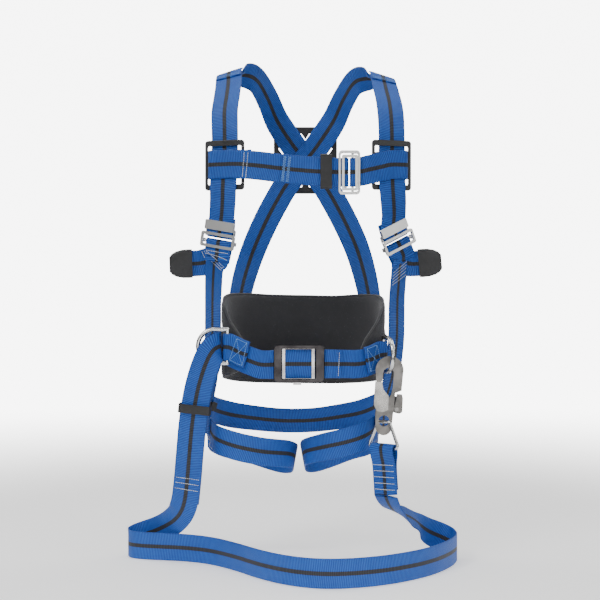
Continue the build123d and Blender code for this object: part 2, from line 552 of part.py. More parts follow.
# ---------------------------------------------------------------- leg straps, seat strap, hip sliders
LEG_R = [(-167.5, 4, -108, -.35, .30, .88), (-162, -9.5, -114, -.22, .1, .96), (-154.5, -28.5, -119, -.12, 0, .98), (-147, -47, -126, -.06, 0, .99), (-130, -57, -133, 0, 0, 1),
         (-105, -62, -140, 0, .05, 1), (-72, -57, -147, 0, .12, .98), (-46, -44, -151, 0, .25, .95), (-27, -24, -155, .05, .42, .88), (-18, 2, -163, .15, .50, .82),
         (-22, 30, -172, .15, .42, .86), (-42, 57, -174, .05, .25, .95), (-72, 76, -168, 0, .05, 1), (-105, 80, -158, 0, -.05, 1), (-133, 66, -150, 0, -.12, .98),
         (-154, 44, -138, -.1, -.1, .98), (-164.5, 23, -128, -.25, 0, .95)]
LEG_L = [(123.5, -3, -105, .35, .30, .88), (121, -19, -108, .22, .1, .96), (111.5, -35, -113, .12, 0, .98), (101, -51, -119, .06, 0, .99), (86, -60, -125, 0, 0, 1),
         (62, -62, -132, 0, .05, 1), (38, -56, -138, 0, .12, .98), (18, -43, -144, 0, .25, .95), (3, -24, -150, -.05, .42, .88), (-4, 2, -158, -.15, .50, .82),
         (-2, 30, -170, -.15, .42, .86), (16, 57, -173, -.05, .25, .95), (44, 76, -167, 0, .05, 1), (74, 80, -156, 0, -.05, 1), (99, 66, -147, 0, -.12, .98),
         (115.5, 42, -134, .1, -.1, .98), (122.5, 19, -122, .25, 0, .95)]
SEAT = [(-162.0, 8, -82, -.10, .05, .99), (-161.5, 30, -83, -.05, 0, 1), (-153.5, 62, -91, 0, -.05, 1), (-128, 91, -101, 0, -.12, .99), (-92, 110, -108, 0, -.2, .98), (-50, 119, -113, 0, -.25, .97),
        (-14, 121, -114, 0, -.25, .97), (22, 119, -112, 0, -.25, .97), (60, 110, -106, 0, -.2, .98), (94, 91, -98, 0, -.12, .99), (118, 62, -86, 0, -.05, 1),
        (122, 30, -78, .05, 0, 1), (118.5, 4, -75, .10, .05, .99)]
low_parts = {}
for name, rows in (("leg_strap_right", LEG_R), ("leg_strap_left", LEG_L), ("seat_strap", SEAT)):
    with BuildPart() as strap:
        for o, t, w in stations(rows, 2):
            with BuildSketch(Plane(origin=o, x_dir=w, z_dir=t)):
                Rectangle(web_w, web_t)
        loft(ruled=True)
    strap.part.label = name
    low_parts[name] = strap.part

hip_parts = {}
for name, o, w, t in (("hip_slider_right", (-164.9, -20.4, -72), (.56, -.82, -.10), (-.24, .02, -.97)),
                      ("hip_slider_left", (131.2, -28.0, -68), (-.58, -.81, .08), (-.16, .10, -.98))):
    t = Vector(*t).normalized()
    w = Vector(*w)
    w = (w - t * w.dot(t)).normalized()
    with BuildPart() as slider:
        with BuildSketch(Plane(origin=Vector(*o) - t * 7, x_dir=w, z_dir=t)):
            RectangleRounded(57, 12.5, 3)
            RectangleRounded(48, 6.6, 1, mode=Mode.SUBTRACT)
        extrude(amount=14)
    slider.part.label = name
    hip_parts[name] = slider.part

# ---------------------------------------------------------------- snap hook
hook_o = Vector(132.0, -86.5, -10.8)             # top of the throat, on the side D-ring's lower wire
hook_v = Vector(.075, 0, .997).normalized()
hook_n = Vector(0, -1, 0)
hook_u = hook_v.cross(hook_n) * 1
if hook_u.X < 0:
    hook_u = hook_u * -1
hook_plane = Plane(origin=hook_o, x_dir=hook_u, z_dir=hook_u.cross(hook_v))
hz = hook_plane.z_dir


def hook_at(u, v, n=0.0):
    return hook_o + hook_u * u + hook_v * v + hz * n


body_t = 7.0
gate_pivot = (-8.0, -62.0)
lever_pivot = (17.0, -64.0)
eye = (-1.5, -84.0)
with BuildPart() as hook_body:
    with BuildSketch(hook_plane.offset(-body_t / 2)):
        with BuildLine():
            l1 = Line((-19.0, -21.0), (-20.5, -6.0))
            a1 = ThreePointArc((-20.5, -6.0), (1.5, 19.5), (23.5, -6.0))
            l2 = Polyline((23.5, -6.0), (23.0, -34.0), (13.0, -38.5), (12.0, -78.0), (11.0, -96.0))
            a2 = ThreePointArc((11.0, -96.0), (-1.5, -107.0), (-14.0, -96.0))
            l3 = Polyline((-14.0, -96.0), (-16.0, -74.0), (-15.0, -55.0), (3.0, -50.0), (7.0, -40.0), (8.5, -30.0), (8.5, -8.5))
            a3 = ThreePointArc((8.5, -8.5), (0.0, 0.55), (-8.5, -8.5))
            l4 = Polyline((-8.5, -8.5), (-8.5, -20.0), (-12.5, -26.0), (-19.0, -21.0))
        make_face()
        with Locations(eye):
            Circle(8.8, mode=Mode.SUBTRACT)
        with Locations(gate_pivot, ):
            Circle(2.55, mode=Mode.SUBTRACT)
    extrude(amount=body_t)
    # web that carries the lock lever's pin
    with BuildSketch(hook_plane.offset(-1.0)):
        with Locations(lever_pivot):
            Rectangle(13, 11)
    extrude(amount=2.0)
    # pocket for the gate spring
    with BuildSketch(hook_plane.offset(-body_t / 2)):
        with Locations(gate_pivot):
            Circle(5.8)
    extrude(amount=3.3, mode=Mode.SUBTRACT)
    with BuildSketch(hook_plane.offset(-5)):
        with Locations(lever_pivot, gate_pivot):
            Circle(2.05)
    extrude(amount=10, mode=Mode.SUBTRACT)
hook_body.part.label = "hook_body"

with BuildPart() as hook_gate:
    # two side plates joined by a rib across the outer edge
    for z0 in (-body_t / 2 - 2.3, body_t / 2 + 0.5):
        with BuildSketch(hook_plane.offset(z0)):
            with BuildLine():
                Polyline((-19.5, -22.5), (-9.3, -22.5), (-6.5, -34), (3.0, -44), (3.5, -66), (-4, -70), (-14, -69), (-19.5, -60), (-19.5, -22.5))
            make_face()
            with Locations(gate_pivot):
                Circle(2.05, mode=Mode.SUBTRACT)
        extrude(amount=1.8)
    with BuildSketch(hook_plane.offset(-body_t / 2 - 1.5)):
        with BuildLine():
            Polyline((-19.5, -27.5), (-10.0, -27.5), (-8.0, -34), (-3.0, -39), (-5.0, -48.0), (-16.2, -51.5), (-17.2, -60), (-19.5, -60), (-19.5, -27.5))
        make_face()
    extrude(amount=body_t + 3)
    # thumb ribs on both faces
    for z0 in (-body_t / 2 - 3.3, body_t / 2 + 2.2):
        with BuildSketch(hook_plane.offset(z0)):
            for k in range(4):
                with Locations((-9, -40.5 - 4.4 * k)):
                    RectangleRounded(17, 2.2, 1.0)
        extrude(amount=1.1)
hook_gate.part.label = "hook_gate"

with BuildPart() as hook_lock_lever:
    for z0 in (-4.3, 2.1):
        with BuildSketch(hook_plane.offset(z0)):
            with BuildLine():
                Polyline((16.2, -40.0), (24.0, -40.0), (26.0, -46), (26.5, -68), (22, -71), (14.2, -70), (14.2, -58.0), (16.2, -40.0))
            make_face()
            with Locations(lever_pivot):
                Circle(2.05, mode=Mode.SUBTRACT)
        extrude(amount=2.2)
    with BuildSketch(hook_plane.offset(-2.2)):
        with BuildLine():
            Polyline((16.4, -40.0), (24.0, -40.0), (26.0, -46), (26.5, -68), (24.3, -70), (24.3, -56), (15.4, -52), (16.4, -40.0))
        make_face()
    extrude(amount=4.4)
hook_lock_lever.part.label = "hook_lock_lever"

with BuildPart() as gate_pin:
    with BuildSketch(hook_plane.offset(-7.2)):
        with Locations(gate_pivot):
            Circle(2.0)
    extrude(amount=14.4)
    for z0 in (-7.9, 6.3):
        with BuildSketch(hook_plane.offset(z0)):
            with Locations(gate_pivot):
                Circle(3.6)
        extrude(amount=1.6)
gate_pin.part.label = "gate_pin"

with BuildPart() as lever_pin:
    with BuildSketch(hook_plane.offset(-5.0)):
        with Locations(lever_pivot):
            Circle(2.0)
    extrude(amount=10)
    for z0 in (-6.1, 4.6):
        with BuildSketch(hook_plane.offset(z0)):
            with Locations(lever_pivot):
                Circle(3.2)
        extrude(amount=1.5)
lever_pin.part.label = "lever_pin"

hook_springs = []
for name, pivot, n0, ring, wire_rad, leg in (("gate_spring", gate_pivot, -2.0, 4.2, 0.75, (6.0, -8.5)),
                                             ("lever_spring", lever_pivot, 1.55, 3.3, 0.4, (-4.4, -3.2))):
    with BuildPart() as spring:
        for k in ((-0.6, 0.6) if name == "gate_spring" else (0.0,)):
            with BuildSketch(Plane(origin=hook_at(pivot[0], pivot[1], n0 + k), x_dir=hook_u, z_dir=hook_v)):
                with Locations((ring, 0)):
                    Circle(wire_rad)
            revolve(axis=Axis(hook_at(pivot[0], pivot[1], n0 + k), hz))
        if name == "lever_spring":
            with BuildSketch(Plane(origin=hook_at(pivot[0] + leg[0] * 0.7, pivot[1] + leg[1] * 0.7, n0), x_dir=hz,
                                   z_dir=(hook_u * -0.5 + hook_v * 0.9).normalized())):
                Circle(wire_rad)
            extrude(amount=1.2)
    spring.part.label = name
    hook_springs.append(spring.part)

with BuildPart() as link_ring:
    ring_e = Vector(.77, -.64, 0).normalized()
    top = hook_at(eye[0], eye[1] - 1.5)
    dn = Vector(-.06, .02, -1)
    dn = (dn - ring_e * dn.dot(ring_e)).normalized()
    pts = [top - ring_e * 1.0, top + ring_e * 11, top + dn * 42 + ring_e * 30.0, top + dn * 42 - ring_e * 30.0, top - ring_e * 11, top - ring_e * 1.0]
    with BuildLine() as path:
        FilletPolyline(*[p for p in pts[:-1]] + [pts[-1] + ring_e * 0.0001], radius=[4.2, 5.5, 5.5, 4.2])
    with BuildSketch(Plane(origin=pts[0], x_dir=dn, z_dir=ring_e)):
        Circle(ring_wire)
    sweep(path=path.line)
link_ring.part.label = "link_ring"

# ---------------------------------------------------------------- lanyard
bar_c = top + dn * 42                              # middle of the link ring's bottom bar
sew_r = ring_wire + 2.9 + web_t / 2
ring_m = ring_e.cross(dn)
if ring_m.Y > 0:
    ring_m = ring_m * -1                           # towards the front


def sew_row(p, w):
    return (p.X, p.Y, p.Z, w.X, w.Y, w.Z)


with BuildPart() as lanyard_hook_end:
    down = Vector(.06, -.05, -1).normalized()
    wrap = []
    for k in range(9):
        a = radians(180 + 22.5 * k)
        p = bar_c + ring_m * (sew_r * cos(a)) * 1 + dn * (sew_r * sin(a))
        wrap.append(sew_row(p, ring_e))
    # k = 0 is the rear side of the bar, the middle passes over its top, k = 8 is the front side
    rear = [sew_row(bar_c + down * s + ring_m * m, ring_e) for s, m in ((10, -6.2), (22, -3.0), (34, -1.7), (52, -1.5), (66, -1.5))]
    front = [sew_row(bar_c + down * s + ring_m * m, ring_e) for s, m in ((10, 6.2), (22, 3.0), (34, 1.7), (52, 1.5), (72, 1.5))]
    for o, t, w in stations(rear[::-1] + wrap[:1], 2) + stations(wrap, 2)[1:] + stations(wrap[-1:] + front, 2)[1:]:
        with BuildSketch(Plane(origin=o, x_dir=w, z_dir=t)):
            Rectangle(web_w, web_t)
    loft(ruled=True)
lanyard_hook_end.part.label = "lanyard_hook_end"
end_front = bar_c + down * 76 + ring_m * 1.5

# free run: straight runs joined by tangent arcs; the webbing stands on its edge where it lies on the floor
lz = floor_z + web_w / 2 + 0.5
ROUTE = [(-137.5, -68, 23.8, 0, 0, 1), (-144.5, -74.5, 22.3, -.15, 0, .98), (-153.5, -79.5, 11.8, -.5, 0, .87), (-164, -80.5, -13, -.80, .05, .55), (-174, -79.5, -48, -.97, .1, .2), (-181.5, -76, -92, -.99, .1, .1),
         (-186.5, -71, -142, -.98, .15, .1), (-191, -63, -192, -.98, .15, .12), (-197, -51, -236, -.93, .1, .25), (-212, -30, -262, -.6, .2, .7), (-243, 6, -284, -.2, .2, .95),
         (-273, 26, -297, 0, .1, 1), (-296, 19, lz + 2, 0, 0, 1), (-295, 0, lz, 0, 0, 1), (-278, -15, lz, 0, 0, 1), (-242, -25, lz, 0, 0, 1), (-200, -33, lz, 0, 0, 1), (-155, -56, lz, 0, 0, 1), (-112, -105, lz, 0, 0, 1),
         (-70, -168, lz, 0, 0, 1), (-24, -214, lz, 0, 0, 1), (26, -236, lz, 0, 0, 1), (82, -226, lz, 0, 0, 1), (138, -196, lz, 0, 0, 1), (192, -146, lz, 0, 0, 1),
         (230, -84, lz, 0, 0, 1), (249, -30, lz, 0, 0, 1), (247, 0, lz + 2, 0, 0, 1), (226, 10, lz + 10, 0, 0, 1), (197, -8, lz + 24, -.25, 0, .97), (172, -42, lz + 52, -.65, -.2, .7)]
ROUTE.append((end_front.X + 9, end_front.Y + 13, end_front.Z - 27, -.74, .55, .2))
ROUTE.append((end_front.X, end_front.Y, end_front.Z, -.77, .64, 0))

route_pts = [Vector(*r[:3]) for r in ROUTE]
route_len = [(b - a).length for a, b in zip(route_pts, route_pts[1:])]
route_rad = []
for i in range(1, len(route_pts) - 1):
    turn = (route_pts[i] - route_pts[i - 1]).get_angle(route_pts[i + 1] - route_pts[i])
    route_rad.append(0.45 * min(route_len[i - 1], route_len[i]) / tan(radians(turn / 2)))
    print("corner", i, "run", round(route_len[i - 1]), "turn", round(turn), "radius", round(route_rad[-1]))
print("runs", [round(v) for v in route_len], "sum", round(sum(route_len)))

with BuildPart() as lanyard_run:
    with BuildLine(mode=Mode.PRIVATE) as path:
        FilletPolyline(*route_pts, radius=route_rad)
    wire = path.wire()
    total = wire.length
    cum = [0.0]
    for v in route_len:
        cum.append(cum[-1] + v)
    samples = []
    pos = 0.0
    for e in wire.order_edges():
        n = 1 if e.geom_type == GeomType.LINE else max(2, int(e.length / 9))
        for k in range(n):
            samples.append(pos + e.length * k / n)
        pos += e.length
    samples.append(total)
    last = -9.0
    for u in samples:
        if u - last < 0.8 or (total - u < 0.8 and u < total):
            continue
        last = u
        o = wire.position_at(u, position_mode=PositionMode.LENGTH)
        t = wire.tangent_at(u, position_mode=PositionMode.LENGTH)
        near = min(range(len(route_pts) - 1), key=lambda i: (o - (route_pts[i] + (route_pts[i + 1] - route_pts[i]) * max(0, min(1,
                   (o - route_pts[i]).dot(route_pts[i + 1] - route_pts[i]) / route_len[i] ** 2)))).length)
        f = max(0, min(1, (o - route_pts[near]).dot(route_pts[near + 1] - route_pts[near]) / route_len[near] ** 2))
        w = Vector(*ROUTE[near][3:]) * (1 - f) + Vector(*ROUTE[near + 1][3:]) * f
        if near == len(route_pts) - 2 or w.length < 0.2:
            w = Vector(*ROUTE[near][3:]) * (1 - f) + Vector(*ROUTE[near + 1][3:]) * f
        w = (w - t * w.dot(t)).normalized()
        with BuildSketch(Plane(origin=o, x_dir=w, z_dir=t)):
            Rectangle(web_w, web_t)
    loft(ruled=True)
lanyard_run.part.label = "lanyard_run"
print("lanyard centreline", round(total), "volume ratio", round(lanyard_run.part.volume / (total * web_w * web_t), 3))

# fold-back layer: from the D-ring down behind the run, to the stitching
LOOP_BACK = [(-139, -63.5, 23.8, 0, 0, 1), (-145, -61.8, 22.3, -.2, 0, .98), (-153, -60.8, 11.8, -.5, 0, .87), (-162, -61.5, -13, -.8, .05, .55), (-172.5, -66.5, -48, -.97, .1, .2), (-180.5, -71, -92, -.99, .1, .1),
             (-185.9, -67.9, -142, -.98, .15, .1), (-190, -60.8, -185, -.98, .15, .12), (-193.0, -54.5, -212, -.98, .15, .12), (-195.2, -48.8, -230, -.96, .15, .18)]
with BuildPart() as lanyard_ring_end:
    for o, t, w in stations(LOOP_BACK, 3):
        with BuildSketch(Plane(origin=o, x_dir=w, z_dir=t)):
            Rectangle(web_w, web_t)
    loft(ruled=True)
lanyard_ring_end.part.label = "lanyard_ring_end"

with BuildPart() as lanyard_keeper:
    kw = Vector(-.97, .1, .12)
    kt = Vector(-.10, .06, -.99).normalized()
    kw = (kw - kt * kw.dot(kt)).normalized()
    with BuildSketch(Plane(origin=Vector(-177.6, -74.0, -70), x_dir=kw, z_dir=kt)):
        RectangleRounded(52, 19, 3)
        RectangleRounded(47.6, 14.4, 1.5, mode=Mode.SUBTRACT)
    extrude(amount=14)
lanyard_keeper.part.label = "lanyard_keeper"

# ---------------------------------------------------------------- hems on the shoulder tops
hem_parts = {}
for name, rows in (("shoulder_hem_right", [(-128.2, -9, 466.5, .96, -.06, .27), (-128, 6, 475.5, .955, -.03, .29), (-127, 20, 481.0, .95, .02, .31), (-126, 33, 482.5, .94, .06, .33)]),
                   ("shoulder_hem_left", [(129.6, -9, 460.5, -.96, -.06, .27), (128.7, 6, 469.5, -.955, -.03, .29), (128, 20, 475.0, -.95, .02, .31), (127, 33, 476.5, -.94, .06, .33)])):
    with BuildPart() as strap:
        for o, t, w in stations(rows, 2):
            with BuildSketch(Plane(origin=o, x_dir=w, z_dir=t)):
                Rectangle(web_w - 1, web_t)
        loft(ruled=True)
    strap.part.label = name
    hem_parts[name] = strap.part

# ---------------------------------------------------------------- export
pieces = [waist_belt_right.part, waist_belt_left.part, waist_belt_back.part, waist_pad.part, waist_buckle_frame.part,
          waist_buckle_plate.part, chest_strap_right.part, chest_strap_middle.part, chest_strap_left.part, chest_keeper.part,
          chest_buckle_frame.part, chest_buckle_plate.part, dorsal_plate.part, hook_body.part, hook_gate.part,
          hook_lock_lever.part, gate_pin.part, lever_pin.part, link_ring.part, lanyard_hook_end.part, lanyard_run.part,
          lanyard_ring_end.part, lanyard_keeper.part]
pieces += hook_springs
for group in (shoulder_parts, side_parts, torso_parts, tail_parts, cap_parts, slider_parts, d_parts, loop_parts,
              back_parts, low_parts, hip_parts, hem_parts):
    pieces += list(group.values())
for piece in pieces:
    export_step(piece, "parts/" + piece.label + ".step")
print(len(pieces), "pieces")
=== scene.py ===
import bpy, bmesh, json, math, random
from math import sin, cos, radians, pi, copysign
from mathutils import Vector, Matrix
from mathutils import noise as mnoise

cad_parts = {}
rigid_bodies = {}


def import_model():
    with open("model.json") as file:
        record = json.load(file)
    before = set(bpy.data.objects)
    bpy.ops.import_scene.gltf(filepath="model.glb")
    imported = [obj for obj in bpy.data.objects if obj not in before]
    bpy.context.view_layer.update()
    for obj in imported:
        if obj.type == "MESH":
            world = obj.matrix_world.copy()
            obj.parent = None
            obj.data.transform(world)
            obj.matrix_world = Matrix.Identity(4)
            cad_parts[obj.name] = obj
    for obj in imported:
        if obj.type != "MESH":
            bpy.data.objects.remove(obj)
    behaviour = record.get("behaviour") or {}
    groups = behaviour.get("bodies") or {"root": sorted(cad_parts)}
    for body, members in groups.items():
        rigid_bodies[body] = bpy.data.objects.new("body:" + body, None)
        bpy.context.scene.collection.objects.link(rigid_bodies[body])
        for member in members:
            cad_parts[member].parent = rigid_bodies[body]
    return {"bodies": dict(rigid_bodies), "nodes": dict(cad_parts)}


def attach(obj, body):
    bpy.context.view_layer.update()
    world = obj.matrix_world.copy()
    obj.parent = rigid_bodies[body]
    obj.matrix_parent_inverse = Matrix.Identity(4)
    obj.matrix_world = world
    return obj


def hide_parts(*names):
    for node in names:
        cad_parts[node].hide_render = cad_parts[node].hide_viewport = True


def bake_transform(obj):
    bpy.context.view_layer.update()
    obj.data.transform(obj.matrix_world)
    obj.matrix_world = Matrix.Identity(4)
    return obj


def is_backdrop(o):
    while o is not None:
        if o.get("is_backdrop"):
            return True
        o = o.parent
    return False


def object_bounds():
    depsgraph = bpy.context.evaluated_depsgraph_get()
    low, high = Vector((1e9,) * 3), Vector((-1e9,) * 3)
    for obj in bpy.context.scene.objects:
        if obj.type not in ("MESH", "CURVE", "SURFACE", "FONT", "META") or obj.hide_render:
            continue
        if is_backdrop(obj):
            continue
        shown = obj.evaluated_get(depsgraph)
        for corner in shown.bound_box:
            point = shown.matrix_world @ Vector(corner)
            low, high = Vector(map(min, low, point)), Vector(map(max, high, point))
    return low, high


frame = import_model()
N = frame["nodes"]
random.seed(11)
WEB_W, WEB_T = 0.045, 0.0022
scene = bpy.context.scene

# ------------------------------------------------------------------ camera
cam_data = bpy.data.cameras.new("camera")
cam = bpy.data.objects.new("camera", cam_data)
scene.collection.objects.link(cam)
cam.location = (-0.0095, -2.105, 0.098)
cam.rotation_euler = (radians(90), 0, 0)
cam_data.sensor_width = 36
cam_data.lens = 75.96
cam_data.clip_end = 50
scene.camera = cam


